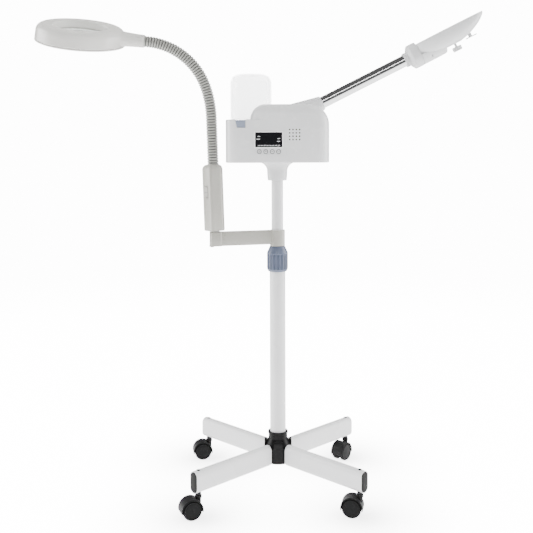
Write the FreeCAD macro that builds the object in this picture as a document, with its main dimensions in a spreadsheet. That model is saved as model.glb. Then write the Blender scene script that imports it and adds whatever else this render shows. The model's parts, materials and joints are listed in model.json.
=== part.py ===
import FreeCAD, Part
import Sketcher
import os
import re

# A facial steamer on a four-legged caster stand, with a magnifying lamp on a gooseneck.
# Frame: millimetres, +Z up, +X towards the steam nozzle, -Y towards the operator's side.
# The origin is on the floor, under the axis of the column.

driving = [
    ("wheel_dia", 44, "caster wheel diameter"),
    ("wheel_wide", 11, "width of one of the twin wheels"),
    ("wheel_gap", 13, "gap between the twin wheels"),
    ("caster_trail", 17.5, "stem axis to wheel axis"),
    ("fender_dia", 50.5, "outside of the fender over the wheels"),
    ("fender_thick", 2.4, "fender wall"),
    ("axle_dia", 6, "wheel axle"),
    ("stem_dia", 8, "caster stem"),
    ("stem_low", 33, "lower end of the stem, inside the caster body"),
    ("caster_high", 52, "top of the caster body"),
    ("leg_reach", 269, "column axis to the outer end of a leg"),
    ("leg_start", 35, "column axis to the inner end of a leg"),
    ("stem_reach", 256, "column axis to a caster stem"),
    ("leg_low", 57, "underside of the legs above the floor"),
    ("leg_tall", 50, "leg tube height"),
    ("leg_wide", 25, "leg tube width"),
    ("leg_wall", 1.5, "leg tube wall"),
    ("cap_thick", 3, "visible thickness of a leg end cap"),
    ("hub_low", 60, "underside of the hub"),
    ("hub_floor", 66, "seat of the column inside the hub"),
    ("hub_wide", 67, "hub diameter between the legs"),
    ("hub_neck", 45, "hub collar diameter"),
    ("hub_high", 134, "top of the hub collar"),
    ("lower_dia", 38, "lower column tube"),
    ("lower_high", 560, "top of the lower tube"),
    ("upper_dia", 28, "upper column tube"),
    ("upper_low", 250, "lower end of the upper tube"),
    ("upper_high", 800, "top of the upper tube"),
    ("tube_wall", 2, "column tube wall"),
    ("collar_low", 527, "lower edge of the lock collar"),
    ("collar_high", 588, "top of the lock collar"),
    ("collar_dia", 51, "lock collar diameter"),
    ("rib_count", 18, "grip ribs of the lock collar"),
    ("bracket_high", 627, "top of the lamp bracket"),
    ("bracket_ring", 36.5, "lamp bracket ring diameter"),
    ("bracket_thick", 14, "lamp bracket arm thickness"),
    ("bracket_turn", 195.5, "azimuth of the lamp bracket"),
    ("lamp_reach", 152.7, "column axis to the lamp handle"),
    ("lean", 1.8, "outward lean of the lamp handle"),
    ("handle_low", 630, "lower end of the lamp handle"),
    ("handle_long", 157, "length of the lamp handle"),
    ("handle_deep", 42, "handle depth, switch face to back"),
    ("handle_wide", 40, "handle width across the switch face"),
    ("handle_turn", 213, "azimuth that the switch face looks to"),
    ("neck_dia", 27, "gooseneck diameter"),
    ("neck_straight", 110, "gooseneck, straight lower part"),
    ("neck_soft", 250, "radius of the gentle bend"),
    ("neck_soft_turn", 16, "angle of the gentle bend"),
    ("neck_tight", 160, "radius of the tighter bend"),
    ("neck_tight_low", 28, "angle of the tighter bend below the last joint"),
    ("neck_tight_high", 37.5, "angle of the tighter bend above the last joint"),
    ("neck_tail", 16, "straight end of the gooseneck, into the magnifier"),
    ("lens_rise", 7, "upward pitch of the magnifier"),
    ("lens_tilt", 17, "tilt of the magnifier towards the operator"),
    ("lens_reach", 146, "gooseneck end to the lens centre"),
    ("lens_dia", 134, "lens diameter"),
    ("ring_dia", 210, "magnifier housing diameter"),
    ("ring_tall", 40, "magnifier housing height"),
    ("body_left", -121.3, "left side of the steamer body"),
    ("body_right", 121.5, "right side of the steamer body"),
    ("body_deep", 170, "depth of the steamer body"),
    ("body_low", 791, "underside of the steamer body"),
    ("seat_high", 892, "top of the tank seat"),
    ("body_high", 928, "roof of the steamer body"),
    ("shoulder", -63, "left side of the raised part, also the tank axis"),
    ("body_wall", 2.5, "steamer shell wall"),
    ("body_round", 40, "vertical corner radius of the body"),
    ("panel_low", 827.8, "lower edge of the display window"),
    ("button_high", 817, "height of the button row"),
    ("split", -20, "plane between the front and rear shells"),
    ("tank_dia", 100, "water tank diameter"),
    ("tank_back", 20, "tank axis behind the column axis"),
    ("tank_high", 1003, "top of the tank"),
    ("tank_wall", 2, "tank wall"),
    ("tank_cap_dia", 47, "tank cap diameter"),
    ("well_dia", 56, "well for the tank cap"),
    ("socket_low", 747, "lower end of the neck socket"),
    ("boss_x", 109.1, "end of the arm boss, across"),
    ("boss_z", 933.5, "end of the arm boss, height"),
    ("arm_rise", 26.7, "upward angle of the steam arm"),
    ("arm_dia", 28, "steam arm tube"),
    ("arm_long", 246, "steam arm beyond the boss"),
    ("nut_start", 220.4, "swivel nut along the arm"),
    ("drum_start", 232, "nozzle drum along the arm"),
    ("drum_dia", 60, "nozzle drum diameter"),
    ("scoop_start", 258.8, "inner end of the steam scoop"),
    ("scoop_end", 437, "tip of the steam scoop"),
    ("scoop_wide", 104, "width of the steam scoop"),
    ("scoop_rim", 23, "scoop rim above the arm axis"),
    ("scoop_deep", 18.5, "scoop floor below the arm axis"),
    ("chin_long", 64, "length of the block under the scoop"),
    ("knob_place", 347, "nozzle knob along the arm"),
    ("scoop_wall", 2.4, "scoop wall"),
    ("fit", 0.06, "radial clearance of running fits"),
    ("gap", 0.3, "clearance between parts of different bodies"),
]
aliases = {alias for alias, size, note in driving}

zAxis = FreeCAD.Vector(0, 0, 1)
yAxis = FreeCAD.Vector(0, 1, 0)
xAxis = FreeCAD.Vector(1, 0, 0)
corners = {"front_left": 225, "front_right": 315, "rear_right": 45, "rear_left": 135}
casterHeading = {"front_left": 201, "front_right": 167, "rear_right": 232, "rear_left": 190}

doc = FreeCAD.newDocument("facial_steamer")
sheet = doc.addObject("Spreadsheet::Sheet", "Dims")
subParts = []


def writeSheet():
    for row, (alias, size, note) in enumerate(driving, start=1):
        sheet.set(f"A{row}", alias)
        sheet.set(f"B{row}", str(size))
        sheet.setAlias(f"B{row}", alias)
        sheet.set(f"C{row}", note)
    doc.recompute()


def inDims(expression):
    return re.sub(r"[a-z][a-z_]*", lambda word: "Dims." + word[0] if word[0] in aliases else word[0], expression)


def value(expression):
    return float(sheet.evalExpression(expression))


def bind(piece, sizes):
    for field, expression in sizes.items():
        piece.setExpression(field, inDims(expression))


def place(piece, x="0", y="0", z="0", axis=zAxis, angle="0"):
    base = FreeCAD.Vector(value(x), value(y), value(z))
    piece.Placement = FreeCAD.Placement(base, FreeCAD.Rotation(axis, value(angle)))
    bind(piece, {"Placement.Base.x": x, "Placement.Base.y": y, "Placement.Base.z": z})
    return piece


def box(name, x, y, z):
    # x, y and z are pairs of expressions: the low side and the high side
    piece = doc.addObject("Part::Box", name)
    bind(piece, {"Length": f"{x[1]} - ({x[0]})", "Width": f"{y[1]} - ({y[0]})", "Height": f"{z[1]} - ({z[0]})"})
    return place(piece, x[0], y[0], z[0])


def cylinder(name, radius, low, high, x="0", y="0"):
    piece = doc.addObject("Part::Cylinder", name)
    bind(piece, {"Radius": radius, "Height": f"{high} - ({low})"})
    return place(piece, x, y, low)


def cylinderAlongY(name, radius, low, high, x="0", z="0"):
    piece = doc.addObject("Part::Cylinder", name)
    bind(piece, {"Radius": radius, "Height": f"{high} - ({low})"})
    return place(piece, x, low, z, xAxis, "-90")


def cylinderAlongX(name, radius, low, high, y="0", z="0"):
    piece = doc.addObject("Part::Cylinder", name)
    bind(piece, {"Radius": radius, "Height": f"{high} - ({low})"})
    return place(piece, low, y, z, yAxis, "90")


def lay(piece, frame):
    # moves a primitive, with its own place, into a frame
    moved = frame.multiply(piece.Placement)
    for way in "xyz":
        piece.setExpression(f"Placement.Base.{way}", None)
    piece.Placement = moved
    return piece


def fuse(name, pieces):
    piece = doc.addObject("Part::MultiFuse", name)
    piece.Shapes = pieces
    return piece


def cut(name, base, tool):
    piece = doc.addObject("Part::Cut", name)
    piece.Base = base
    piece.Tool = tool
    return piece


def common(name, base, tool):
    piece = doc.addObject("Part::MultiCommon", name)
    piece.Shapes = [base, tool]
    return piece


def group(name, pieces):
    piece = doc.addObject("Part::Compound", name)
    piece.Links = pieces
    return piece


def subPart(label, piece, frame=None):
    piece.Label = label
    if frame is not None:
        piece.Placement = frame
    subParts.append(piece)
    return piece


def newBody(name):
    return doc.addObject("PartDesign::Body", name)


def originPlane(body, role):
    return [plane for plane in body.Origin.OriginFeatures if plane.Role == role][0]


def newSketch(body, role, name, offset=None):
    sketch = body.newObject("Sketcher::SketchObject", name)
    sketch.AttachmentSupport = [(originPlane(body, role), "")]
    sketch.MapMode = "FlatFace"
    if offset is not None:
        sketch.AttachmentOffset = FreeCAD.Placement(FreeCAD.Vector(0, 0, value(offset)), FreeCAD.Rotation())
        bind(sketch, {"AttachmentOffset.Base.z": offset})
    return sketch


def pin(sketch, geometry, point, u, v):
    # holds one point of a sketch at the coordinates that two expressions give
    for direction, expression, axis in (("DistanceX", u, -2), ("DistanceY", v, -1)):
        if value(expression) == 0:
            sketch.addConstraint(Sketcher.Constraint("PointOnObject", geometry, point, axis))
            continue
        index = sketch.addConstraint(Sketcher.Constraint(direction, -1, 1, geometry, point, value(expression)))
        sketch.setExpression(f"Constraints[{index}]", inDims(expression))


def outline(body, role, name, points, offset=None):
    sketch = newSketch(body, role, name, offset)
    vectors = [FreeCAD.Vector(value(u), value(v), 0) for u, v in points]
    count = len(points)
    for i in range(count):
        sketch.addGeometry(Part.LineSegment(vectors[i], vectors[(i + 1) % count]), False)
    for i in range(count):
        sketch.addConstraint(Sketcher.Constraint("Coincident", i, 2, (i + 1) % count, 1))
    for i, (u, v) in enumerate(points):
        pin(sketch, i, 1, u, v)
    return sketch


def circles(body, role, name, rings, offset=None):
    # rings holds (radius, u, v) expressions, one for each circle
    sketch = newSketch(body, role, name, offset)
    for i, (radius, u, v) in enumerate(rings):
        middle = FreeCAD.Vector(value(u), value(v), 0)
        sketch.addGeometry(Part.Circle(middle, FreeCAD.Vector(0, 0, 1), value(radius)), False)
        index = sketch.addConstraint(Sketcher.Constraint("Radius", i, value(radius)))
        sketch.setExpression(f"Constraints[{index}]", inDims(radius))
        if value(u) == 0 and value(v) == 0:
            sketch.addConstraint(Sketcher.Constraint("Coincident", i, 3, -1, 1))
        else:
            pin(sketch, i, 3, u, v)
    return sketch


def pad(body, sketch, length, midplane=False, reverse=False):
    feature = body.newObject("PartDesign::Pad", sketch.Name + "Pad")
    feature.Profile = sketch
    bind(feature, {"Length": length})
    feature.Midplane = midplane
    feature.Reversed = reverse
    return feature


def pocket(body, sketch, length, midplane=False, reverse=False):
    feature = body.newObject("PartDesign::Pocket", sketch.Name + "Pocket")
    feature.Profile = sketch
    bind(feature, {"Length": length})
    feature.Midplane = midplane
    feature.Reversed = reverse
    return feature


def revolve(body, sketch):
    feature = body.newObject("PartDesign::Revolution", sketch.Name + "Turn")
    feature.Profile = sketch
    feature.ReferenceAxis = (sketch, ["V_Axis"])
    feature.Angle = 360
    return feature


def polar(body, feature, count):
    pattern = body.newObject("PartDesign::PolarPattern", feature.Name + "Ring")
    pattern.Originals = [feature]
    pattern.Axis = ([axis for axis in body.Origin.OriginFeatures if axis.Role == "Z_Axis"][0], [""])
    pattern.Angle = 360
    bind(pattern, {"Occurrences": count})
    body.Tip = pattern
    return pattern


def turned(name, points):
    # a body of revolution about Z, from (radius, height) points
    body = newBody(name)
    revolve(body, outline(body, "XZ_Plane", name + "Profile", points))
    return body


def edgesWhere(piece, test):
    return [i + 1 for i, edge in enumerate(piece.Shape.Edges) if test(edge)]


def rounded(name, piece, radius, test):
    doc.recompute()
    soft = doc.addObject("Part::Fillet", name)
    soft.Base = piece
    soft.Edges = [(i, value(radius), value(radius)) for i in edgesWhere(piece, test)]
    return soft


def upright(edge):
    box = edge.BoundBox
    return box.XLength < 0.01 and box.YLength < 0.01 and box.ZLength > 1


def turnedFrame(x, y, z, *turns):
    # a placement at (x, y, z), turned by the (axis, angle) steps in order
    frame = FreeCAD.Placement(FreeCAD.Vector(value(x), value(y), value(z)), FreeCAD.Rotation())
    for axis, angle in turns:
        step = FreeCAD.Rotation(axis, value(angle))
        frame = frame.multiply(FreeCAD.Placement(FreeCAD.Vector(), step))
    return frame


# ---- base ----

def stadium(body, name, wide, tall, middle, offset=None):
    # a flat oval in the YZ plane: two half circles joined by upright sides
    sketch = newSketch(body, "YZ_Plane", name, offset)
    radius = value(wide) / 2
    low = value(middle) - value(tall) / 2 + radius
    high = value(middle) + value(tall) / 2 - radius
    pi = 3.141592653589793
    upper = Part.ArcOfCircle(Part.Circle(FreeCAD.Vector(0, high, 0), zAxis, radius), 0, pi)
    lower = Part.ArcOfCircle(Part.Circle(FreeCAD.Vector(0, low, 0), zAxis, radius), pi, 2 * pi)
    sketch.addGeometry(upper, False)
    sketch.addGeometry(Part.LineSegment(FreeCAD.Vector(-radius, high, 0), FreeCAD.Vector(-radius, low, 0)), False)
    sketch.addGeometry(lower, False)
    sketch.addGeometry(Part.LineSegment(FreeCAD.Vector(radius, low, 0), FreeCAD.Vector(radius, high, 0)), False)
    for first, firstEnd, second, secondEnd in ((0, 2, 1, 1), (1, 2, 2, 1), (2, 2, 3, 1), (3, 2, 0, 1)):
        sketch.addConstraint(Sketcher.Constraint("Tangent", first, firstEnd, second, secondEnd))
    sketch.addConstraint(Sketcher.Constraint("PointOnObject", 0, 3, -2))
    sketch.addConstraint(Sketcher.Constraint("Vertical", 1))
    index = sketch.addConstraint(Sketcher.Constraint("Radius", 0, radius))
    sketch.setExpression(f"Constraints[{index}]", inDims(f"({wide}) / 2"))
    index = sketch.addConstraint(Sketcher.Constraint("DistanceY", -1, 1, 0, 3, high))
    sketch.setExpression(f"Constraints[{index}]", inDims(f"{middle} + ({tall} - ({wide})) / 2"))
    index = sketch.addConstraint(Sketcher.Constraint("DistanceY", -1, 1, 2, 3, low))
    sketch.setExpression(f"Constraints[{index}]", inDims(f"{middle} - ({tall} - ({wide})) / 2"))
    return sketch


legMiddle = "leg_low + leg_tall / 2"


def makeHub():
    block = turned("HubBlock", [
        ("0", "hub_low"), ("hub_wide / 2 - 4", "hub_low"), ("hub_wide / 2", "hub_low + 4"),
        ("hub_wide / 2", "hub_high - 35"), ("hub_neck / 2 + 0.8", "hub_high - 16"), ("hub_neck / 2 + 0.2", "hub_high - 4"),
        ("hub_neck / 2 + 0.2", "hub_high - 1.5"), ("hub_neck / 2 - 1", "hub_high"), ("0", "hub_high")])
    spigots = []
    for i, angle in enumerate(("0", "90")):
        body = newBody(f"HubSpigot{i}")
        sketch = stadium(body, f"HubSpigot{i}Section", "leg_wide - 2 * leg_wall - 0.4",
                         "leg_tall - 2 * leg_wall - 0.4", legMiddle)
        pad(body, sketch, "2 * (leg_start + 30)", midplane=True)
        spigots.append(place(body, angle=angle))
    solid = fuse("HubSolid", [block] + spigots)
    solid.Placement = turnedFrame("0", "0", "0", (zAxis, "45"))
    bore = cylinder("HubBore", "lower_dia / 2 + 0.1", "hub_floor", "hub_high + 1")
    screwHoles = hubScrewTools("HubScrewHole", "2.85", "lower_dia / 2 - 5")
    subPart("base_hub", cut("Hub", solid, fuse("HubBores", [bore] + screwHoles)))


def hubScrewTools(name, radius, start):
    # radial screws that pinch the column, two at the front and two at the back
    pieces = []
    for i, azimuth in enumerate((248, 292, 68, 112)):
        piece = cylinderAlongX(f"{name}{i}", radius, start, "hub_wide / 2 - 6.5", "0", "hub_high - 27")
        pieces.append(lay(piece, turnedFrame("0", "0", "0", (zAxis, str(azimuth)))))
    return pieces


def makeHubScrews():
    subPart("hub_screws", group("HubScrews", hubScrewTools("HubScrew", "2.8", "lower_dia / 2 + 0.3")))


def makeLeg(corner, azimuth):
    body = newBody(f"Leg_{corner}")
    outer = stadium(body, f"LegOuter_{corner}", "leg_wide", "leg_tall", legMiddle, "leg_start")
    pad(body, outer, "leg_reach - cap_thick - leg_start")
    inner = stadium(body, f"LegInner_{corner}", "leg_wide - 2 * leg_wall", "leg_tall - 2 * leg_wall", legMiddle, "leg_start")
    pocket(body, inner, "leg_reach - cap_thick - leg_start", reverse=True)
    hole = circles(body, "XY_Plane", f"LegHole_{corner}", [("stem_dia / 2 + 0.2", "stem_reach", "0")], "leg_low - 1")
    pocket(body, hole, "leg_tall + 2", reverse=True)
    subPart(f"leg_{corner}", body, turnedFrame("0", "0", "0", (zAxis, str(azimuth))))


def makeLegCaps():
    caps = []
    for corner, azimuth in corners.items():
        body = newBody(f"LegCap_{corner}")
        face = stadium(body, f"LegCapFace_{corner}", "leg_wide", "leg_tall", legMiddle, "leg_reach - cap_thick")
        pad(body, face, "cap_thick")
        plug = stadium(body, f"LegCapPlug_{corner}", "leg_wide - 2 * leg_wall - 0.2", "leg_tall - 2 * leg_wall - 0.2",
                       legMiddle, "leg_reach - cap_thick - 2")
        pad(body, plug, "2")
        body.Placement = turnedFrame("0", "0", "0", (zAxis, str(azimuth)))
        caps.append(body)
    subPart("leg_end_caps", group("LegCaps", caps))


def stemFrame(azimuth, yaw="0"):
    spot = FreeCAD.Placement(FreeCAD.Vector(value("stem_reach"), 0, 0), FreeCAD.Rotation(zAxis, value(yaw)))
    return turnedFrame("0", "0", "0", (zAxis, str(azimuth))).multiply(spot)


def makeStemBushes():
    bushes = []
    for corner, azimuth in corners.items():
        body = turned(f"StemBush_{corner}", [
            ("stem_dia / 2 + 0.05", "leg_low + 6"), ("7", "leg_low + 6"), ("7", "leg_low + leg_tall - 6"),
            ("stem_dia / 2", "leg_low + leg_tall - 6"), ("stem_dia / 2", "leg_low + leg_tall + 0.8"),
            ("0", "leg_low + leg_tall + 1.2"), ("0", "leg_low + leg_tall - 9"),
            ("stem_dia / 2 + 0.05", "leg_low + leg_tall - 9")])
        body.Placement = stemFrame(azimuth)
        bushes.append(body)
    subPart("stem_bushes", group("StemBushes", bushes))


def makeCasterStems():
    stems = []
    for corner, azimuth in corners.items():
        body = turned(f"CasterStem_{corner}", [
            ("0", "stem_low + 0.3"), ("stem_dia / 2", "stem_low + 0.3"), ("stem_dia / 2", "leg_low - 3.5"),
            ("6.5", "leg_low - 3.5"), ("6.5", "leg_low - 0.5"), ("stem_dia / 2", "leg_low - 0.5"),
            ("stem_dia / 2", "leg_low + leg_tall - 10"), ("0", "leg_low + leg_tall - 10")])
        body.Placement = stemFrame(azimuth)
        stems.append(body)
    subPart("caster_stems", group("CasterStems", stems))


def makeCaster(corner, azimuth):
    # built with the stem on the Z axis and the wheels trailing towards +X
    rim = cylinderAlongY(f"FenderOuter_{corner}", "fender_dia / 2", "-(wheel_gap / 2 + wheel_wide)",
                         "wheel_gap / 2 + wheel_wide", "caster_trail", "wheel_dia / 2")
    room = cylinderAlongY(f"FenderInner_{corner}", "fender_dia / 2 - fender_thick", "-(wheel_gap / 2 + wheel_wide + 1)",
                          "wheel_gap / 2 + wheel_wide + 1", "caster_trail", "wheel_dia / 2")
    ring = cut(f"FenderRing_{corner}", rim, room)
    high = box(f"FenderHigh_{corner}", ("caster_trail - 15", "caster_trail + 40"), ("-40", "40"),
               ("wheel_dia / 2 - 6", "wheel_dia / 2 + 40"))
    fender = common(f"Fender_{corner}", ring, high)
    disc = cylinderAlongY(f"WebDisc_{corner}", "fender_dia / 2 - 1.5", "1 - wheel_gap / 2", "wheel_gap / 2 - 1", "caster_trail", "wheel_dia / 2")
    half = box(f"WebHalf_{corner}", ("caster_trail - 40", "caster_trail + 40"), ("-40", "40"),
               ("wheel_dia / 2 - 4", "wheel_dia / 2 + 40"))
    web = common(f"Web_{corner}", disc, half)
    eye = cylinderAlongY(f"AxleEye_{corner}", "8", "1 - wheel_gap / 2", "wheel_gap / 2 - 1", "caster_trail", "wheel_dia / 2")
    post = cylinder(f"StemPost_{corner}", "wheel_gap / 2 - 0.4", "stem_low - 4", "caster_high")
    flange = cylinder(f"StemFlange_{corner}", "8", "wheel_dia + 1.5", "caster_high")
    solid = fuse(f"CasterSolid_{corner}", [fender, web, eye, post, flange])
    stemBore = cylinder(f"StemBore_{corner}", "stem_dia / 2 + fit", "stem_low", "caster_high + 1")
    axleBore = cylinderAlongY(f"AxleBore_{corner}", "axle_dia / 2 + 0.02", "-30", "30", "caster_trail", "wheel_dia / 2")
    bores = fuse(f"CasterBores_{corner}", [stemBore, axleBore])
    frame = stemFrame(azimuth, str(casterHeading[corner] - azimuth))
    subPart(f"caster_body_{corner}", cut(f"CasterBody_{corner}", solid, bores), frame)
    axle = cylinderAlongY(f"Axle_{corner}", "axle_dia / 2", "-(wheel_gap / 2 + wheel_wide - 3.4)",
                          "wheel_gap / 2 + wheel_wide - 3.4", "caster_trail", "wheel_dia / 2")
    subPart(f"caster_axle_{corner}", group(f"AxlePin_{corner}", [axle]), frame)
    for side, turn in (("a", "90"), ("b", "-90")):
        wheel = turned(f"Wheel_{corner}_{side}", [
            ("axle_dia / 2 + fit", "wheel_gap / 2"), ("8", "wheel_gap / 2"), ("9", "wheel_gap / 2 + 1.5"),
            ("wheel_dia / 2 - 5", "wheel_gap / 2 + 1.5"), ("wheel_dia / 2 - 4", "wheel_gap / 2"),
            ("wheel_dia / 2 - 1.5", "wheel_gap / 2"), ("wheel_dia / 2", "wheel_gap / 2 + 1.5"),
            ("wheel_dia / 2", "wheel_gap / 2 + wheel_wide - 3"), ("wheel_dia / 2 - 2.2", "wheel_gap / 2 + wheel_wide"),
            ("wheel_dia / 2 - 3.5", "wheel_gap / 2 + wheel_wide"), ("wheel_dia / 2 - 4.5", "wheel_gap / 2 + wheel_wide - 1"),
            ("0", "wheel_gap / 2 + wheel_wide - 0.4"),
            ("0", "wheel_gap / 2 + wheel_wide - 3"), ("axle_dia / 2 + fit", "wheel_gap / 2 + wheel_wide - 3")])
        hubFrame = turnedFrame("caster_trail", "0", "wheel_dia / 2", (xAxis, turn))
        subPart(f"wheel_{corner}_{side}", wheel, frame.multiply(hubFrame))


# ---- column ----

def makeColumn():
    lower = turned("LowerTube", [
        ("lower_dia / 2 - tube_wall", "hub_floor + 0.1"), ("lower_dia / 2", "hub_floor + 0.1"),
        ("lower_dia / 2", "lower_high"), ("lower_dia / 2 - tube_wall", "lower_high")])
    subPart("lower_tube", lower, turnedFrame("0", "0", "0"))
    upper = turned("UpperTube", [
        ("upper_dia / 2 - tube_wall", "upper_low"), ("upper_dia / 2", "upper_low"),
        ("upper_dia / 2", "upper_high"), ("upper_dia / 2 - tube_wall", "upper_high")])
    subPart("upper_tube", upper, turnedFrame("0", "0", "0"))


def makeCollet():
    # a sleeve inside the lower tube, a flange on its end, and tapered fingers that grip the upper tube
    body = turned("Collet", [
        ("upper_dia / 2 + fit", "lower_high - 55"), ("lower_dia / 2 - tube_wall - 0.1", "lower_high - 55"),
        ("lower_dia / 2 - tube_wall - 0.1", "lower_high + 0.1"), ("21", "lower_high + 0.1"), ("21", "lower_high + 4"),
        ("20", "lower_high + 4"), ("17.6", "lower_high + 22"), ("upper_dia / 2 + fit", "lower_high + 22")])
    slot = outline(body, "XY_Plane", "ColletSlot", [
        ("10", "0.75"), ("10", "-0.75"), ("25", "-0.75"), ("25", "0.75")], "lower_high + 5")
    polar(body, pocket(body, slot, "20", reverse=True), "6")
    subPart("collet", body, turnedFrame("0", "0", "0"))


def makeLockCollar():
    radius = "collar_dia / 2"
    body = turned("LockCollar", [
        ("lower_dia / 2 + 0.35", "collar_low"), (radius + " - 3", "collar_low"), (radius + " - 0.6", "collar_low + 5"),
        (radius, "collar_low + 8"), (radius, "collar_high - 17"), ("bracket_ring / 2 - 0.5", "collar_high"),
        ("upper_dia / 2 + 0.4", "collar_high"), ("upper_dia / 2 + 0.4", "collar_high - 4"),
        ("18.3", "collar_high - 4"), ("20.7", "collar_high - 22"), ("21.4", "collar_high - 22"),
        ("21.4", "collar_high - 30"), ("lower_dia / 2 + 0.35", "collar_high - 30")])
    groove = circles(body, "XY_Plane", "CollarGroove", [("2.3", radius + " + 1", "0")], "collar_low - 1")
    polar(body, pocket(body, groove, "collar_high - collar_low - 16", reverse=True), "rib_count")
    subPart("lock_collar", body, turnedFrame("0", "0", "0"))


# ---- lamp ----

def makeBracket():
    # built along +X and turned to its azimuth
    ring = cylinder("BracketRing", "bracket_ring / 2", "collar_high + gap", "bracket_high")
    arm = box("BracketArm", ("10", "lamp_reach + 6"), ("-bracket_thick / 2", "bracket_thick / 2"),
              ("collar_high + 5", "bracket_high"))
    end = cylinder("BracketEnd", "13", "collar_high + 5", "bracket_high", "lamp_reach")
    solid = fuse("BracketSolid", [ring, arm, end])
    bore = cylinder("BracketBore", "upper_dia / 2 + fit", "collar_high - 1", "bracket_high + 1")
    bored = cut("BracketBored", solid, bore)
    bored.Placement = turnedFrame("0", "0", "0", (zAxis, "bracket_turn"))
    pinBore = lay(cylinder("BracketPinBore", "5.05", "-26.5", "5"), lampFrame())
    subPart("lamp_bracket", cut("Bracket", bored, pinBore))


def lampFrame(height="0"):
    # the handle's own axis: upright, leaning out by a small angle, +X towards the switch face
    foot = turnedFrame("lamp_reach * cos(bracket_turn)", "lamp_reach * sin(bracket_turn)", "handle_low",
                       (yAxis, "-lean"), (zAxis, "handle_turn"))
    return foot.multiply(FreeCAD.Placement(FreeCAD.Vector(0, 0, value(height)), FreeCAD.Rotation()))


def makeBracketPin():
    pinBody = turned("BracketPin", [
        ("0", "-26"), ("5", "-26"), ("5", "30"), ("0", "30")])
    subPart("bracket_pin", pinBody, lampFrame())


def makeHandle():
    # a moulded handle in two halves that close on the switch, the pin and the foot of the gooseneck
    deep = "handle_deep / 2"
    wide = "handle_wide / 2"
    block = box("HandleBlock", ("-" + deep, deep), ("-" + wide, wide), ("0", "handle_long"))
    back = rounded("HandleBack", block, "17", lambda edge: upright(edge) and edge.CenterOfMass.x < 0)
    soft = rounded("HandleSoft", back, "5", lambda edge: upright(edge) and edge.CenterOfMass.x > value(deep) - 1)
    top = rounded("HandleTop", soft, "4.5", lambda edge: edge.BoundBox.ZMin > value("handle_long") - 0.1)
    room = box("HandleRoom", ("-13", "15"), ("-13", "13"), ("38", "handle_long - 6"))
    pinBore = cylinder("HandlePinBore", "5 + fit", "-1", "39")
    neckBore = cylinder("HandleNeckBore", "neck_dia / 2 - 3", "handle_long - 8", "handle_long + 1")
    switchHole = box("HandleSwitchHole", (deep + " - 12", deep + " + 1"), ("-8.3", "8.3"), ("78.2", "105.8"))
    hollow = cut("HandleHollow", top, fuse("HandleTools", [room, pinBore, neckBore, switchHole]))
    for label, low, high in (("handle_outer_half", "0.05", "60"), ("handle_inner_half", "-60", "-0.05")):
        side = box(f"{label}_side", (low, high), ("-60", "60"), ("-5", "handle_long + 5"))
        subPart(label, common(f"{label}_shape", hollow, side), lampFrame())


def makeSwitch():
    # a rocker that turns on the Y axis of the handle
    body = newBody("Rocker")
    face = outline(body, "XZ_Plane", "RockerSide", [
        ("handle_deep / 2 - 8", "-7"), ("handle_deep / 2 + 0.5", "-12.6"), ("handle_deep / 2 + 2", "-12.2"),
        ("handle_deep / 2 + 0.6", "0"), ("handle_deep / 2 + 2", "12.2"), ("handle_deep / 2 + 0.5", "12.6"),
        ("handle_deep / 2 - 8", "7")])
    pad(body, face, "15.6", midplane=True)
    subPart("lamp_switch", body, lampFrame("92"))


def neckPoint(stage):
    # points and headings along the gooseneck, in the upright plane through the handle axis.
    # The frame's Z axis runs along the neck, and -X is the side it bends to.
    foot = turnedFrame("lamp_reach * cos(bracket_turn)", "lamp_reach * sin(bracket_turn)", "handle_low", (yAxis, "-lean"))
    frame = foot.multiply(FreeCAD.Placement(FreeCAD.Vector(0, 0, value("handle_long")), FreeCAD.Rotation()))
    if stage == "foot":
        return frame
    frame = frame.multiply(FreeCAD.Placement(FreeCAD.Vector(0, 0, value("neck_straight")), FreeCAD.Rotation()))
    steps = [("lower", None, None), ("soft", "neck_soft", "neck_soft_turn"),
             ("middle", "neck_tight", "neck_tight_low"), ("upper", "neck_tight", "neck_tight_high")]
    for name, radius, turn in steps:
        if radius is not None:
            middle = FreeCAD.Vector(-value(radius), 0, 0)
            bend = FreeCAD.Placement(FreeCAD.Vector(), FreeCAD.Rotation(yAxis, -value(turn)), middle)
            frame = frame.multiply(bend)
        if name == stage:
            return frame
    return frame.multiply(FreeCAD.Placement(FreeCAD.Vector(0, 0, value("neck_tail")), FreeCAD.Rotation()))


def bentTube(frames, starts, ends):
    # a round bar along tangent arcs between frames, cut back at each end
    edges = []
    for first, second in zip(frames, frames[1:]):
        start = first.Base
        finish = second.Base
        heading = first.Rotation.multVec(zAxis)
        chord = finish - start
        if heading.cross(chord).Length < 0.01:
            edges.append(Part.LineSegment(start, finish).toShape())
            continue
        side = heading.cross(chord).cross(heading).normalize()
        radius = chord.Length ** 2 / (2 * chord.dot(side))
        middle = start + side * radius
        toMiddle = (start + finish) * 0.5 - middle
        crown = middle + toMiddle.normalize() * radius
        edges.append(Part.Arc(start, crown, finish).toShape())
    path = Part.Wire(edges)
    circle = Part.Circle(frames[0].Base, frames[0].Rotation.multVec(zAxis), value("neck_dia / 2"))
    section = Part.Wire(circle.toShape())
    bar = path.makePipeShell([section], True, False)
    for frame, length, way in ((frames[0], starts, 1), (frames[-1], ends, -1)):
        if length > 0:
            back = frame.Rotation.multVec(zAxis) * way
            block = Part.makeCylinder(40, length + 20, frame.Base - back * 20, back)
            bar = bar.cut(block)
    return bar


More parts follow.
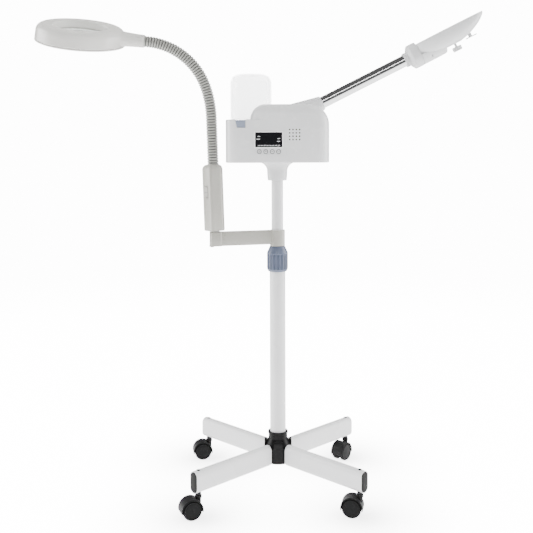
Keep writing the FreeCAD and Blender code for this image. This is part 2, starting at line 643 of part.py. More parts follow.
def neckSegment(label, frames, balls):
    # a segment stops short of its joints; a ball on a short stalk sits at a joint centre
    bar = bentTube(frames, value("neck_dia / 3 + gap"), 6 if "end" in balls else 0)
    extras = []
    for side, frame, way in (("start", frames[0], 1), ("end", frames[-1], -1)):
        if side in balls:
            back = frame.Rotation.multVec(zAxis) * way
            extras.append(Part.makeCylinder(5, 10, frame.Base, back))
            extras.append(Part.makeSphere(value("neck_dia / 3"), frame.Base))
    if extras:
        bar = bar.fuse(extras)
    piece = doc.addObject("Part::Feature", label)
    piece.Shape = bar.removeSplitter()
    subPart(label, piece)


def makeNeck():
    # the lowest ball sits in the roof of the handle
    foot = neckPoint("foot")
    base = foot.multiply(FreeCAD.Placement(FreeCAD.Vector(0, 0, -3), FreeCAD.Rotation()))
    lower = neckPoint("lower")
    soft = neckPoint("soft")
    middle = neckPoint("middle")
    upper = neckPoint("upper")
    neckSegment("gooseneck_lower", [base, lower], ("start", "end"))
    neckSegment("gooseneck_middle", [lower, soft, middle], ("end",))
    neckSegment("gooseneck_upper", [middle, upper, neckPoint("end")], ())


def magnifierFrame():
    # +X from the gooseneck to the lens centre, +Z out of the top of the ring
    end = neckPoint("end").Base
    frame = FreeCAD.Placement(end, FreeCAD.Rotation())
    for axis, angle in ((zAxis, "180"), (yAxis, "-lens_rise"), (xAxis, "-lens_tilt")):
        frame = frame.multiply(FreeCAD.Placement(FreeCAD.Vector(), FreeCAD.Rotation(axis, value(angle))))
    return frame


def makeMagnifier():
    frame = magnifierFrame()
    ringFrame = frame.multiply(FreeCAD.Placement(FreeCAD.Vector(value("lens_reach"), 0, 0), FreeCAD.Rotation()))
    inner = "lens_dia / 2 - 3"
    outer = "ring_dia / 2"
    half = "ring_tall / 2"
    top = turned("RingTop", [
        (inner, "2.1"), (inner, half + " - 3"), (inner + " + 3", half), (outer + " - 20", half),
        (outer + " - 9", half + " - 4"), (outer + " - 3", half + " - 14"), (outer, "-" + half + " + 6"),
        (outer, "-" + half + " + 2.6"), (outer + " - 2.5", "-" + half + " + 2.6"),
        (outer + " - 2.5", "-" + half + " + 7"), (outer + " - 5.5", half + " - 15"),
        (outer + " - 11", half + " - 6.5"), (outer + " - 21", half + " - 2.5"), (inner + " + 4", half + " - 2.5"),
        (inner + " + 2.5", half + " - 4"), (inner + " + 2.5", "2.1")])
    fairing = newBody("Fairing")
    nearEnd = circles(fairing, "YZ_Plane", "FairingNear", [("neck_dia / 2 + 2", "0", "0")], "-2")
    farEnd = newSketch(fairing, "YZ_Plane", "FairingFar", "lens_reach - ring_dia / 2 + 12")
    shape = Part.Ellipse(FreeCAD.Vector(0, 0, 0), value("ring_dia / 4"), value(half))
    farEnd.addGeometry(shape, False)
    loft = fairing.newObject("PartDesign::AdditiveLoft", "FairingLoft")
    loft.Profile = nearEnd
    loft.Sections = [farEnd]
    clear = cylinder("FairingClear", outer + " - 4", "-" + half + " - 5", half + " + 5", "lens_reach")
    under = cylinder("FairingUnder", outer + " + 2", "-" + half + " - 5", "-" + half + " + 2.6", "lens_reach")
    neckHole = cylinderAlongX("FairingHole", "neck_dia / 2 + 0.05", "-5", "10")
    tail = cut("FairingTail", fairing, fuse("FairingTools", [clear, under, neckHole]))
    topMoved = group("RingTopMoved", [top])
    place(topMoved, "lens_reach")
    subPart("ring_top_shell", fuse("RingTopShell", [topMoved, tail]), frame)
    bottom = turned("RingBottom", [
        (inner, "-2.1"), (inner, "-" + half + " + 1"), (inner + " + 1", "-" + half), (outer + " - 1", "-" + half),
        (outer, "-" + half + " + 1"), (outer, "-" + half + " + 2.5"), (inner + " + 2.5", "-" + half + " + 2.5"),
        (inner + " + 2.5", "-2.1")])
    subPart("ring_bottom_shell", bottom, ringFrame)
    glass = turned("Lens", [
        ("0", "-5"), ("lens_dia / 5", "-4.5"), ("lens_dia / 2 - 4", "-2"), ("lens_dia / 2", "-2"), ("lens_dia / 2", "2"),
        ("lens_dia / 2 - 4", "2"), ("lens_dia / 5", "4.5"), ("0", "5")])
    subPart("lens", glass, ringFrame)
    tube = doc.addObject("Part::Torus", "LightTube")
    bind(tube, {"Radius1": outer + " - 18", "Radius2": "5.5"})
    place(tube, z="-7")
    subPart("light_ring", group("LightRing", [tube]), ringFrame)


# ---- steamer head ----

def housingForm(name, inset):
    side = newBody(name + "Side")
    left = f"body_left + {inset}"
    right = f"body_right - {inset}"
    low = f"body_low + {inset}"
    seat = f"seat_high - {inset}"
    roof = f"body_high - {inset}"
    step = f"shoulder + {inset}"
    sketch = outline(side, "XZ_Plane", name + "Outline", [
        (left, low), (right, low), (right, roof), (step, roof), (step, seat), (left, seat)])
    pad(side, sketch, f"body_deep - 2 * {inset}", midplane=True)
    doc.recompute()
    shoulders = []
    for x, radius in ((right, "48.6"), (step, "34")):
        for i, edge in enumerate(side.Shape.Edges):
            middle = edge.CenterOfMass
            if abs(middle.x - value(x)) < 0.1 and abs(middle.z - value(roof)) < 0.1 and edge.BoundBox.YLength > 1:
                shoulders.append((i + 1, value(radius) - value(inset), value(radius) - value(inset)))
    curved = doc.addObject("Part::Fillet", name + "Shoulders")
    curved.Base = side
    curved.Edges = shoulders
    plan = box(name + "Plan", (left, right), (f"-(body_deep / 2 - {inset})", f"body_deep / 2 - {inset}"), (low, roof))
    planSoft = rounded(name + "PlanSoft", plan, f"body_round - {inset}", upright)
    return common(name, curved, planSoft)


def armFrame():
    return turnedFrame("boss_x", "0", "boss_z", (yAxis, "-arm_rise"))


def makeShells():
    outer = housingForm("HousingOuter", "0")
    inner = housingForm("HousingInner", "body_wall")
    boss = doc.addObject("Part::Cone", "ArmBoss")
    bind(boss, {"Radius1": "34", "Radius2": "16.8", "Height": "78"})
    boss.Placement = armFrame().multiply(turnedFrame("-78", "0", "0", (yAxis, "90")))
    tankRoomOuter = cylinder("TankRoomOuter", "tank_dia / 2 + 3", "seat_high", "body_high + 5", "shoulder", "tank_back")
    backLeft = box("BackLeft", ("body_left - 5", "shoulder + 45"), ("-tank_dia / 2 + tank_back - 3", "body_deep / 2 + 5"),
                   ("seat_high", "body_high + 5"))
    wallRoom = cylinder("TankRoomWall", "tank_dia / 2 + 3 + body_wall", "seat_high - body_wall", "body_high + 5",
                        "shoulder", "tank_back")
    backLeftWall = box("BackLeftWall", ("body_left - 5", "shoulder + 45 + body_wall"),
                       ("-tank_dia / 2 + tank_back - 3 - body_wall", "body_deep / 2 + 5"),
                       ("seat_high - body_wall", "body_high + 5"))
    wellWall = cylinder("WellWall", "well_dia / 2 + body_wall", "seat_high - 33", "body_high", "shoulder", "tank_back")
    notchWall = box("NotchWall", ("shoulder - 33", "shoulder - 9"), ("-body_deep / 2 - 5", "tank_back"),
                    ("seat_high - 22", "body_high"))
    floorHole = cylinder("FloorHole", "19.1", "body_low - 5", "body_low + 5")
    gland = cylinderAlongY("GlandBoss", "9", "body_deep / 2 - 9", "body_deep / 2 - 0.5", "60", "body_low + 24")
    cavity = cut("Cavity", inner, fuse("CavityKeep", [wallRoom, backLeftWall, wellWall, notchWall, gland]))
    solid = fuse("HousingSolid", [outer, boss])
    hollow = cut("HousingHollow", solid, cavity)
    well = cylinder("Well", "well_dia / 2", "seat_high - 30", "body_high + 5", "shoulder", "tank_back")
    notch = box("Notch", ("shoulder - 31", "shoulder - 11"), ("-body_deep / 2 - 5", "tank_back"),
                ("seat_high - 19.5", "body_high + 5"))
    armBore = lay(cylinderAlongX("ArmBore", "arm_dia / 2 + 0.1", "-50", "5"), armFrame())
    glandBore = cylinderAlongY("GlandBore", "4.5", "body_deep / 2 - 12", "body_deep / 2 + 5", "60", "body_low + 24")
    windowHole = box("WindowHole", ("-51.8", "10.7"), ("-body_deep / 2 - 5", "-body_deep / 2 + 5"),
                     ("panel_low - 0.2", "panel_low + 34"))
    holes = []
    for i, x in enumerate(buttonPlaces):
        holes.append(cylinderAlongY(f"ButtonHole{i}", "5.6", "-body_deep / 2 - 5", "-body_deep / 2 + 5", x, "button_high"))
    for row in range(4):
        for column in range(4):
            holes.append(cylinderAlongY(f"Vent{row}{column}", "1.65", "-body_deep / 2 - 5", "-body_deep / 2 + 5",
                                        f"28 + {column} * 7.7", f"panel_low + 17 + {row} * 7.7"))
    tools = fuse("ShellTools", [tankRoomOuter, backLeft, well, notch, armBore, glandBore, floorHole, windowHole] + holes)
    shell = cut("HousingShell", hollow, tools)
    front = box("FrontSide", ("-300", "300"), ("-200", "split - 0.05"), ("700", "1100"))
    rear = box("RearSide", ("-300", "300"), ("split + 0.05", "200"), ("700", "1100"))
    subPart("front_shell", common("FrontShell", shell, front))
    subPart("rear_shell", common("RearShell", shell, rear))


buttonPlaces = ["-42.3", "-27.4", "-12.3", "2.4"]


def makeNeckSocket():
    body = turned("NeckSocket", [
        ("upper_dia / 2 + fit", "socket_low"), ("22.5", "socket_low"), ("23.6", "socket_low + 6"),
        ("24.4", "socket_low + 22"), ("27", "socket_low + 32"), ("32", "socket_low + 39"), ("43", "body_low - 0.1"),
        ("19", "body_low - 0.1"), ("19", "upper_high + 6"), ("0", "upper_high + 6"), ("0", "upper_high + 0.3"),
        ("upper_dia / 2 + fit", "upper_high + 0.3")])
    subPart("neck_socket", body, turnedFrame("0", "0", "0"))


def makePanel():
    window = box("Window", ("-51.6", "10.5"), ("-body_deep / 2 - 0.6", "-body_deep / 2 + 2"), ("panel_low", "panel_low + 33.8"))
    subPart("display_window", window)
    board = box("Board", ("-60", "30"), ("-body_deep / 2 + 9", "-body_deep / 2 + 10.6"), ("button_high - 14", "panel_low + 36"))
    subPart("circuit_board", board)
    for i, x in enumerate(buttonPlaces):
        cap = cylinderAlongY(f"ButtonCap{i}", "5.5", "-body_deep / 2 - 1.4", "-body_deep / 2 + 4", x, "button_high")
        skirt = cylinderAlongY(f"ButtonSkirt{i}", "6.6", "-body_deep / 2 + body_wall + 0.3", "-body_deep / 2 + 4", x, "button_high")
        subPart(f"button_{i + 1}", fuse(f"Button{i}", [cap, skirt]))


def makeTank():
    radius = "tank_dia / 2"
    neck = "16"
    low = "seat_high + 0.5"
    tank = turned("Tank", [
        (neck, "seat_high - 20"), (neck, low + " + 2"), (neck + " + 3", low + " + 2.4"), (radius + " - tank_wall - 3", low + " + 2.4"),
        (radius + " - tank_wall", low + " + 6"), (radius + " - tank_wall", "tank_high - 19"),
        (radius + " - 7", "tank_high - 8"), (radius + " - 19", "tank_high - 2.2"), ("0", "tank_high - 2"),
        ("0", "tank_high"), (radius + " - 18", "tank_high"), (radius + " - 5.3", "tank_high - 5.3"),
        (radius, "tank_high - 18"), (radius, low + " + 4"), (radius + " - 4", low), (neck + " + 2.5", low),
        (neck + " + 2.5", "seat_high - 20")])
    subPart("water_tank", tank, turnedFrame("shoulder", "tank_back", "0"))
    cap = turned("TankCap", [
        ("0", "seat_high - 26"), ("4", "seat_high - 26"), ("5", "seat_high - 23.5"), ("tank_cap_dia / 2 - 1.5", "seat_high - 23.5"),
        ("tank_cap_dia / 2", "seat_high - 22"), ("tank_cap_dia / 2", "seat_high - 2"), (neck + " + 2.7", "seat_high - 2"),
        (neck + " + 2.7", "seat_high - 20.2"), ("0", "seat_high - 20.2")])
    groove = circles(cap, "XY_Plane", "CapGroove", [("1.2", "tank_cap_dia / 2 + 0.5", "0")], "seat_high - 30")
    polar(cap, pocket(cap, groove, "40", reverse=True), "24")
    subPart("tank_cap", cap, turnedFrame("shoulder", "tank_back", "0"))


def makeBoiler():
    cup = turned("Boiler", [
        ("0", "body_low + 8"), ("34", "body_low + 8"), ("34", "body_low + 88"), ("8", "body_low + 92"),
        ("8", "body_low + 89.5"), ("31.5", "body_low + 86"), ("31.5", "body_low + 10.5"), ("0", "body_low + 10.5")])
    subPart("boiler", cup, turnedFrame("56", "34", "0"))
    coil = doc.addObject("Part::Torus", "HeaterLoop")
    bind(coil, {"Radius1": "20", "Radius2": "4"})
    place(coil, z="body_low + 16")
    subPart("heating_element", group("Heater", [coil]), turnedFrame("56", "34", "0"))
    start = FreeCAD.Vector(56, 34, value("body_low + 97"))
    finish = armFrame().multVec(FreeCAD.Vector(-52, 0, 0))
    way = finish - start
    pipe = Part.makeCylinder(6, way.Length, start, way).cut(Part.makeCylinder(4.5, way.Length, start, way))
    piece = doc.addObject("Part::Feature", "SteamPipe")
    piece.Shape = pipe
    subPart("steam_pipe", piece)


def makeArm():
    frame = armFrame()
    outside = cylinderAlongX("ArmOutside", "arm_dia / 2", "-45", "arm_long")
    inside = cylinderAlongX("ArmInside", "arm_dia / 2 - 1.5", "-46", "arm_long + 1")
    subPart("steam_arm", cut("Arm", outside, inside), frame)


def makeNozzle():
    frame = armFrame()
    nutOut = cylinderAlongX("NutOut", "18", "nut_start", "drum_start - 0.1")
    nutIn = cylinderAlongX("NutIn", "arm_dia / 2 + fit", "nut_start - 1", "drum_start + 1")
    subPart("swivel_nut", cut("SwivelNut", nutOut, nutIn), frame)
    drum = cylinderAlongX("Drum", "drum_dia / 2", "drum_start + 5", "scoop_start - 0.1")
    back = doc.addObject("Part::Cone", "DrumBack")
    bind(back, {"Radius1": "22", "Radius2": "drum_dia / 2", "Height": "5"})
    back.Placement = turnedFrame("drum_start", "0", "0", (yAxis, "90"))
    drumSolid = fuse("DrumSolid", [drum, back])
    socket = cylinderAlongX("DrumSocket", "arm_dia / 2 + fit", "drum_start - 1", "arm_long + 0.3")
    jet = cylinderAlongX("DrumJet", "4.5", "arm_long - 1", "scoop_start + 5")
    subPart("nozzle_body", cut("NozzleBody", drumSolid, fuse("DrumBores", [socket, jet])), frame)
    subPart("nozzle_hood", makeScoop(), frame)
    stalk = cylinder("KnobStalk", "3", "-scoop_deep - 7", "-scoop_deep + 5", "knob_place")
    head = cylinder("KnobHead", "11.5", "-scoop_deep - 18", "-scoop_deep - 7", "knob_place")
    subPart("nozzle_knob", fuse("NozzleKnob", [stalk, head]), frame)


def scoopForm(name, inset):
    # side outline crossed with a plan outline: a boat-shaped scoop that opens towards +Z
    side = newBody(name + "Side")
    start = f"scoop_start + {inset}"
    rim = "scoop_rim" if inset == "0" else "scoop_rim + 5"
    sketch = outline(side, "XZ_Plane", name + "Outline", [
        (start, rim), (start, f"-7 + {inset}"), ("scoop_start + 55", f"-scoop_deep + 1 + {inset}"),
        (f"scoop_end - 76 - {inset}", f"-scoop_deep + {inset}"), (f"scoop_end - 45 - {inset}", f"-10 + {inset}"),
        (f"scoop_end - 18 - {inset}", "3"), (f"scoop_end - {inset} - 1", "scoop_rim - 4"), (f"scoop_end - {inset}", rim)])
    pad(side, sketch, "scoop_wide + 20", midplane=True)
    plan = newBody(name + "Plan")
    half = f"scoop_wide / 2 - {inset}"
    planSketch = outline(plan, "XY_Plane", name + "PlanOutline", [
        (start, f"-(drum_dia / 2 - {inset})"), ("scoop_start + 26", f"-({half} - 8)"), ("scoop_start + 60", f"-({half})"),
        ("scoop_end - 60", f"-({half})"), ("scoop_end - 26", f"-({half} - 9)"), (f"scoop_end - 6 - {inset}", "-26"),
        (f"scoop_end - {inset}", "-10"), (f"scoop_end - {inset}", "10"), (f"scoop_end - 6 - {inset}", "26"),
        ("scoop_end - 26", f"{half} - 9"), ("scoop_end - 60", half), ("scoop_start + 60", half),
        ("scoop_start + 26", f"{half} - 8"), (start, f"drum_dia / 2 - {inset}")])
    pad(plan, planSketch, "120", midplane=True)
    return common(name, side, plan)


def makeScoop():
    outer = scoopForm("ScoopOuter", "0")
    inner = scoopForm("ScoopInner", "scoop_wall")
    chinRound = cylinderAlongX("ChinRound", "drum_dia / 2 - 0.8", "scoop_start", "scoop_start + chin_long")
    chinSpace = box("ChinSpace", ("scoop_start - 1", "scoop_start + chin_long + 1"), ("-40", "40"), ("-40", "2"))
    chin = common("Chin", chinRound, chinSpace)
    hollow = cut("ScoopHollow", fuse("ScoopSolid", [outer, chin]), inner)
    jet = cylinderAlongX("ScoopJet", "4.5", "scoop_start - 5", "scoop_start + 10")
    knobHole = cylinder("KnobHole", "3 + fit", "-scoop_deep - 5", "-scoop_deep + 8", "knob_place")
    return cut("Scoop", hollow, fuse("ScoopTools", [jet, knobHole]))


# ---- checks and files ----

def checkAndWrite():
    doc.recompute()
    for piece in doc.Objects:
        if "Invalid" in piece.State or "Error" in piece.State:
            raise RuntimeError(f"{piece.Name} failed: {piece.State}")
    for piece in subParts:
        if piece.Shape.isNull() or not piece.Shape.isValid():
            raise RuntimeError(f"{piece.Label} has no valid shape")
    os.makedirs("parts", exist_ok=True)
    for piece in subParts:
        piece.Shape.exportStep(f"parts/{piece.Label}.step")
        print(f"{piece.Label:28s} {len(piece.Shape.Solids)} solids {piece.Shape.Volume / 1000:9.2f} cm3")


writeSheet()
makeHub()
makeHubScrews()
for corner, azimuth in corners.items():
    makeLeg(corner, azimuth)
makeLegCaps()
makeStemBushes()
makeCasterStems()
for corner, azimuth in corners.items():
    makeCaster(corner, azimuth)
makeColumn()
makeCollet()
makeLockCollar()
makeBracket()
makeBracketPin()
makeHandle()
makeSwitch()
makeNeck()
makeMagnifier()
makeShells()
makeNeckSocket()
makePanel()
makeTank()
makeBoiler()
makeArm()
makeNozzle()
checkAndWrite()
print("sub-parts:", len(subParts))
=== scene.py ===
import json
import math
import bmesh
import bpy
from mathutils import Matrix, Vector


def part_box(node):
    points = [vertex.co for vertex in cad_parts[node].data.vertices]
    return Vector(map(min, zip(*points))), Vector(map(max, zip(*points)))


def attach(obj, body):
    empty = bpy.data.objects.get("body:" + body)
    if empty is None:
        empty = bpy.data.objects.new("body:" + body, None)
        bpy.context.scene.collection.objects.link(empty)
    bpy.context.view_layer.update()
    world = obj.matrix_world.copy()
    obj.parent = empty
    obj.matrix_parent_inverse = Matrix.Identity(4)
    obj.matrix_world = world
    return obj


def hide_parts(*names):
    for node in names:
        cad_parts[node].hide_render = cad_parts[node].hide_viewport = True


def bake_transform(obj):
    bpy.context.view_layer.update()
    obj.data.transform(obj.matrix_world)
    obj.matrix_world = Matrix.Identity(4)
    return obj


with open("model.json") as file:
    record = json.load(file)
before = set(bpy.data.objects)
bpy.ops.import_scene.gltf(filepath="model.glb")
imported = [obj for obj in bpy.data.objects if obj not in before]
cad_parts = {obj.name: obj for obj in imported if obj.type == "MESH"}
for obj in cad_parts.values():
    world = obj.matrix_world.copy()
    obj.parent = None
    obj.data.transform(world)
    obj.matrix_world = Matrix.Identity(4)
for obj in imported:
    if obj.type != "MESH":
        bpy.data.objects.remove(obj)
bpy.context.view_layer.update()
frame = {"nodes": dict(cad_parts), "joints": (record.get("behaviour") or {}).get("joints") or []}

mm = 0.001
joints = {joint["name"]: joint for joint in frame["joints"]}
corners = ("front_left", "front_right", "rear_right", "rear_left")


def deselectAll():
    if bpy.context.object and bpy.context.object.mode == "EDIT":
        bpy.ops.object.mode_set(mode="OBJECT")
    bpy.ops.object.select_all(action="DESELECT")


def takeUp(piece):
    # the only selected and active object
    deselectAll()
    piece.select_set(True)
    bpy.context.view_layer.objects.active = piece


def setPlace(piece, matrix):
    takeUp(piece)
    piece.matrix_world = matrix
    bpy.ops.object.transform_apply(location=True, rotation=True, scale=True)


def pickFaces(piece, wanted):
    # edit mode, with the faces that pass the test selected
    takeUp(piece)
    bpy.ops.object.mode_set(mode="EDIT")
    bpy.ops.mesh.select_mode(type="FACE")
    bpy.ops.mesh.select_all(action="DESELECT")
    cage = bmesh.from_edit_mesh(piece.data)
    for face in cage.faces:
        face.select_set(bool(wanted(face)))
    bmesh.update_edit_mesh(piece.data)


def pickEdges(piece, wanted):
    takeUp(piece)
    bpy.ops.object.mode_set(mode="EDIT")
    bpy.ops.mesh.select_mode(type="EDGE")
    bpy.ops.mesh.select_all(action="DESELECT")
    cage = bmesh.from_edit_mesh(piece.data)
    for edge in cage.edges:
        edge.select_set(bool(wanted(edge)))
    bmesh.update_edit_mesh(piece.data)


def closeUp(piece, angle=35):
    # merge doubles, point the faces outwards and shade smooth up to an angle
    takeUp(piece)
    bpy.ops.object.mode_set(mode="EDIT")
    bpy.ops.mesh.select_all(action="SELECT")
    bpy.ops.mesh.remove_doubles(threshold=0.000004)
    bpy.ops.mesh.normals_make_consistent(inside=False)
    bpy.ops.object.mode_set(mode="OBJECT")
    bpy.ops.object.shade_smooth_by_angle(angle=math.radians(angle))


def applyModifier(piece, kind, settings):
    takeUp(piece)
    modifier = piece.modifiers.new(kind.title(), kind)
    for key, given in settings.items():
        setattr(modifier, key, given)
    bpy.ops.object.modifier_apply(modifier=modifier.name)


def softEdges(piece, width, segments=2, angle=35):
    applyModifier(piece, "BEVEL", {"width": width, "segments": segments, "limit_method": "ANGLE",
                                   "angle_limit": math.radians(angle), "harden_normals": False})


def cutWith(piece, cutter, operation="DIFFERENCE"):
    applyModifier(piece, "BOOLEAN", {"operation": operation, "object": cutter, "solver": "EXACT"})
    bpy.data.objects.remove(cutter)


def joinAll(pieces, name):
    takeUp(pieces[0])
    for piece in pieces:
        piece.select_set(True)
    bpy.ops.object.join()
    pieces[0].name = name
    return pieces[0]


def copyOf(piece, name):
    twin = piece.copy()
    twin.data = piece.data.copy()
    twin.name = name
    bpy.context.scene.collection.objects.link(twin)
    return twin


def turnUp(name, rings, sides=64):
    # a lathe: a circle that is extruded and resized from ring to ring; rings are (radius, height) in mm
    deselectAll()
    tiny = 0.0005
    radius = max(rings[0][0], tiny)
    bpy.ops.mesh.primitive_circle_add(vertices=sides, radius=radius * mm, location=(0, 0, rings[0][1] * mm))
    piece = bpy.context.object
    piece.name = name
    bpy.ops.object.transform_apply(location=True, rotation=True, scale=True)
    bpy.ops.object.mode_set(mode="EDIT")
    bpy.ops.mesh.select_all(action="SELECT")
    for (nowRadius, nowHigh), (nextRadius, nextHigh) in zip(rings, rings[1:]):
        step = (nextHigh - nowHigh) * mm
        bpy.ops.mesh.extrude_region_move(TRANSFORM_OT_translate={"value": (0, 0, step)})
        scale = max(nextRadius, tiny) / max(nowRadius, tiny)
        if scale != 1:
            bpy.ops.transform.resize(value=(scale, scale, 1), center_override=(0, 0, nextHigh * mm))
    closeUp(piece)
    return piece


def arc(radius, high, bend, start, finish, steps=6):
    # rings along an arc of radius bend about (radius, high), angles from straight out towards up
    rings = []
    for step in range(steps + 1):
        angle = math.radians(start + (finish - start) * step / steps)
        rings.append((radius + bend * math.cos(angle), high + bend * math.sin(angle)))
    return rings


def block(name, low, high, matrix=None):
    # a rough block between two corners in mm, the start of a cut or of a shaped piece
    deselectAll()
    middle = [(a + b) / 2 * mm for a, b in zip(low, high)]
    bpy.ops.mesh.primitive_cube_add(size=1, location=middle)
    piece = bpy.context.object
    piece.name = name
    piece.scale = [(b - a) * mm for a, b in zip(low, high)]
    bpy.ops.object.transform_apply(location=True, rotation=True, scale=True)
    if matrix is not None:
        setPlace(piece, matrix)
    return piece


def rod(name, radius, start, finish, sides=32):
    # a round cutter between two points in mm
    way = Vector(finish) - Vector(start)
    deselectAll()
    bpy.ops.mesh.primitive_cylinder_add(vertices=sides, radius=radius * mm, depth=way.length * mm)
    piece = bpy.context.object
    piece.name = name
    turn = way.to_track_quat("Z", "Y").to_matrix().to_4x4()
    setPlace(piece, Matrix.Translation((Vector(start) + Vector(finish)) / 2 * mm) @ turn)
    return piece


def finishPiece(piece, body, finish, nodes=()):
    # a finished piece takes its material, rides on its body and stands for its nodes
    piece.data.materials.clear()
    piece.data.materials.append(finish.material)
    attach(piece, body)
    if nodes:
        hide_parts(*nodes)
    return piece


def jointPoint(name):
    return Vector(joints[name]["pos_m"])


def jointAxis(name):
    return Vector(joints[name]["axis"]).normalized()


def axes(origin, xWay, yWay, zWay):
    matrix = Matrix((xWay, yWay, zWay)).transposed().to_4x4()
    matrix.translation = origin
    return matrix


upWay = Vector((0, 0, 1))
armAxis = jointAxis("nozzle_turn")
armMatrix = axes(jointPoint("nozzle_turn") - armAxis * 0.232, armAxis, Vector((0, 1, 0)),
                 armAxis.cross(Vector((0, 1, 0))))
handleUp = jointAxis("handle_turn")
handleSide = jointAxis("lamp_switch_rock")
handleMatrix = axes(jointPoint("handle_turn"), handleSide.cross(handleUp), handleSide, handleUp)
lens = {"rise": 7, "tilt": 17, "reach": 146}
lensLow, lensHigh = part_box("lens")
ringMatrix = Matrix.Translation((lensLow + lensHigh) / 2) @ Matrix.Rotation(math.pi, 4, "Z")
ringMatrix = ringMatrix @ Matrix.Rotation(-math.radians(lens["rise"]), 4, "Y")
ringMatrix = ringMatrix @ Matrix.Rotation(-math.radians(lens["tilt"]), 4, "X")
alongX = Matrix.Rotation(math.radians(90), 4, "Y")  # lathe axis onto +X


def casterMatrix(corner):
    # origin on the floor under the stem, +X towards the wheels, +Y along the axle
    stem = jointPoint(f"caster_swivel_{corner}")
    side = jointAxis(f"wheel_spin_{corner}_a")
    return axes(Vector((stem.x, stem.y, 0)), side.cross(upWay), side, upWay)


class Wire:
    # one node output, so that sums and products of masks read as plain expressions

    def __init__(self, tree, socket):
        self.tree = tree
        self.socket = socket

    def sums(self, operation, first, second):
        node = self.tree.nodes.new("ShaderNodeMath")
        node.operation = operation
        for place, given in enumerate((first, second)):
            if isinstance(given, Wire):
                self.tree.links.new(given.socket, node.inputs[place])
            else:
                node.inputs[place].default_value = given
        return Wire(self.tree, node.outputs[0])

    def __add__(self, other):
        return self.sums("ADD", self, other)

    def __radd__(self, other):
        return self.sums("ADD", other, self)

    def __sub__(self, other):
        return self.sums("SUBTRACT", self, other)

    def __rsub__(self, other):
        return self.sums("SUBTRACT", other, self)

    def __mul__(self, other):
        return self.sums("MULTIPLY", self, other)

    def __rmul__(self, other):
        return self.sums("MULTIPLY", other, self)

    def __gt__(self, other):
        return self.sums("GREATER_THAN", self, other)

    def __lt__(self, other):
        return self.sums("LESS_THAN", self, other)


class Finish:
    # a Principled material; fixed values go straight on its sockets

    def __init__(self, name, **fixed):
        self.material = bpy.data.materials.new(name)
        self.material.use_nodes = True
        self.tree = self.material.node_tree
        self.shader = self.tree.nodes["Principled BSDF"]
        for key, given in fixed.items():
            self.shader.inputs[key.replace("_", " ")].default_value = given

    def node(self, kind, settings=None, values=None, output=0):
        node = self.tree.nodes.new(kind)
        for key, given in (settings or {}).items():
            if key == "stops":
                for stop, (spot, shade) in enumerate(given):
                    while len(node.color_ramp.elements) <= stop:
                        node.color_ramp.elements.new(1)
                    node.color_ramp.elements[stop].position = spot
                    node.color_ramp.elements[stop].color = (shade, shade, shade, 1)
            else:
                setattr(node, key, given)
        for key, given in (values or {}).items():
            if isinstance(given, Wire):
                self.tree.links.new(given.socket, node.inputs[key])
            else:
                node.inputs[key].default_value = given
        return Wire(self.tree, node.outputs[output])

    def place(self):
        return self.node("ShaderNodeTexCoord", output="Object")

    def noise(self, scale, detail=4, rough=0.55):
        return self.node("ShaderNodeTexNoise", None,
                         {"Vector": self.place(), "Scale": scale, "Detail": detail, "Roughness": rough})

    def stretchedNoise(self, scales, detail=3):
        mapped = self.node("ShaderNodeMapping", None, {"Vector": self.place(), "Scale": scales})
        return self.node("ShaderNodeTexNoise", None, {"Vector": mapped, "Scale": 1.0, "Detail": detail})

    def ramp(self, wire, stops):
        return self.node("ShaderNodeValToRGB", {"stops": stops}, {"Fac": wire})

    def mix(self, factor, first, second):
        return self.node("ShaderNodeMix", {"data_type": "RGBA"}, {0: factor, 6: first, 7: second}, output=2)

    def feed(self, name, wire):
        self.tree.links.new(wire.socket, self.shader.inputs[name])

    def bump(self, height, strength, distance=0.0005):
        self.feed("Normal", self.node("ShaderNodeBump", None,
                                      {"Height": height, "Strength": strength, "Distance": distance}))


def colour(red, green, blue):
    return (red, green, blue, 1)


def mouldedPlastic(name, base, shade, rough, grain=900, depth=0.06, coat=0.0, **fixed):
    # moulded plastic: faint flow clouds, a fine surface grain and patches worn a little smoother
    finish = Finish(name, Coat_Weight=coat, Coat_Roughness=0.08, **fixed)
    clouds = finish.noise(9, 3)
    fine = finish.noise(grain, 2)
    patches = finish.noise(34, 5)
    finish.feed("Base Color", finish.mix(finish.ramp(clouds, [(0.35, 0), (0.7, 1)]), colour(*base),
                                         colour(*shade)))
    finish.feed("Roughness", patches * 0.14 + (rough - 0.07))
    finish.bump(fine * 0.7 + patches * 0.3, depth, 0.0004)
    return finish


def brushedMetal(name, base, rough, scales, depth=0.05, metal=1.0):
    finish = Finish(name, Metallic=metal)
    streaks = finish.stretchedNoise(scales)
    stains = finish.noise(25, 4)
    darker = [part * 0.82 for part in base]
    finish.feed("Base Color", finish.mix(stains, colour(*base), colour(*darker)))
    finish.feed("Roughness", streaks * 0.12 + stains * 0.08 + (rough - 0.1))
    finish.bump(streaks, depth, 0.0002)
    return finish


def powderCoat():
    # stove enamel on steel tube: orange peel, specks, slightly uneven sheen
    finish = Finish("powderCoat", Coat_Weight=0.35, Coat_Roughness=0.12, IOR=1.5)
    peel = finish.noise(420, 2)
    clouds = finish.noise(6, 3)
    specks = finish.node("ShaderNodeTexVoronoi", None, {"Vector": finish.place(), "Scale": 190.0})
    finish.feed("Base Color", finish.mix(finish.ramp(clouds, [(0.3, 0), (0.75, 1)]),
                                         colour(0.80, 0.80, 0.805), colour(0.755, 0.758, 0.765)))
    finish.feed("Roughness", clouds * 0.1 + (specks < 0.05) * 0.1 + 0.22)
    finish.bump(peel, 0.07, 0.0005)
    return finish


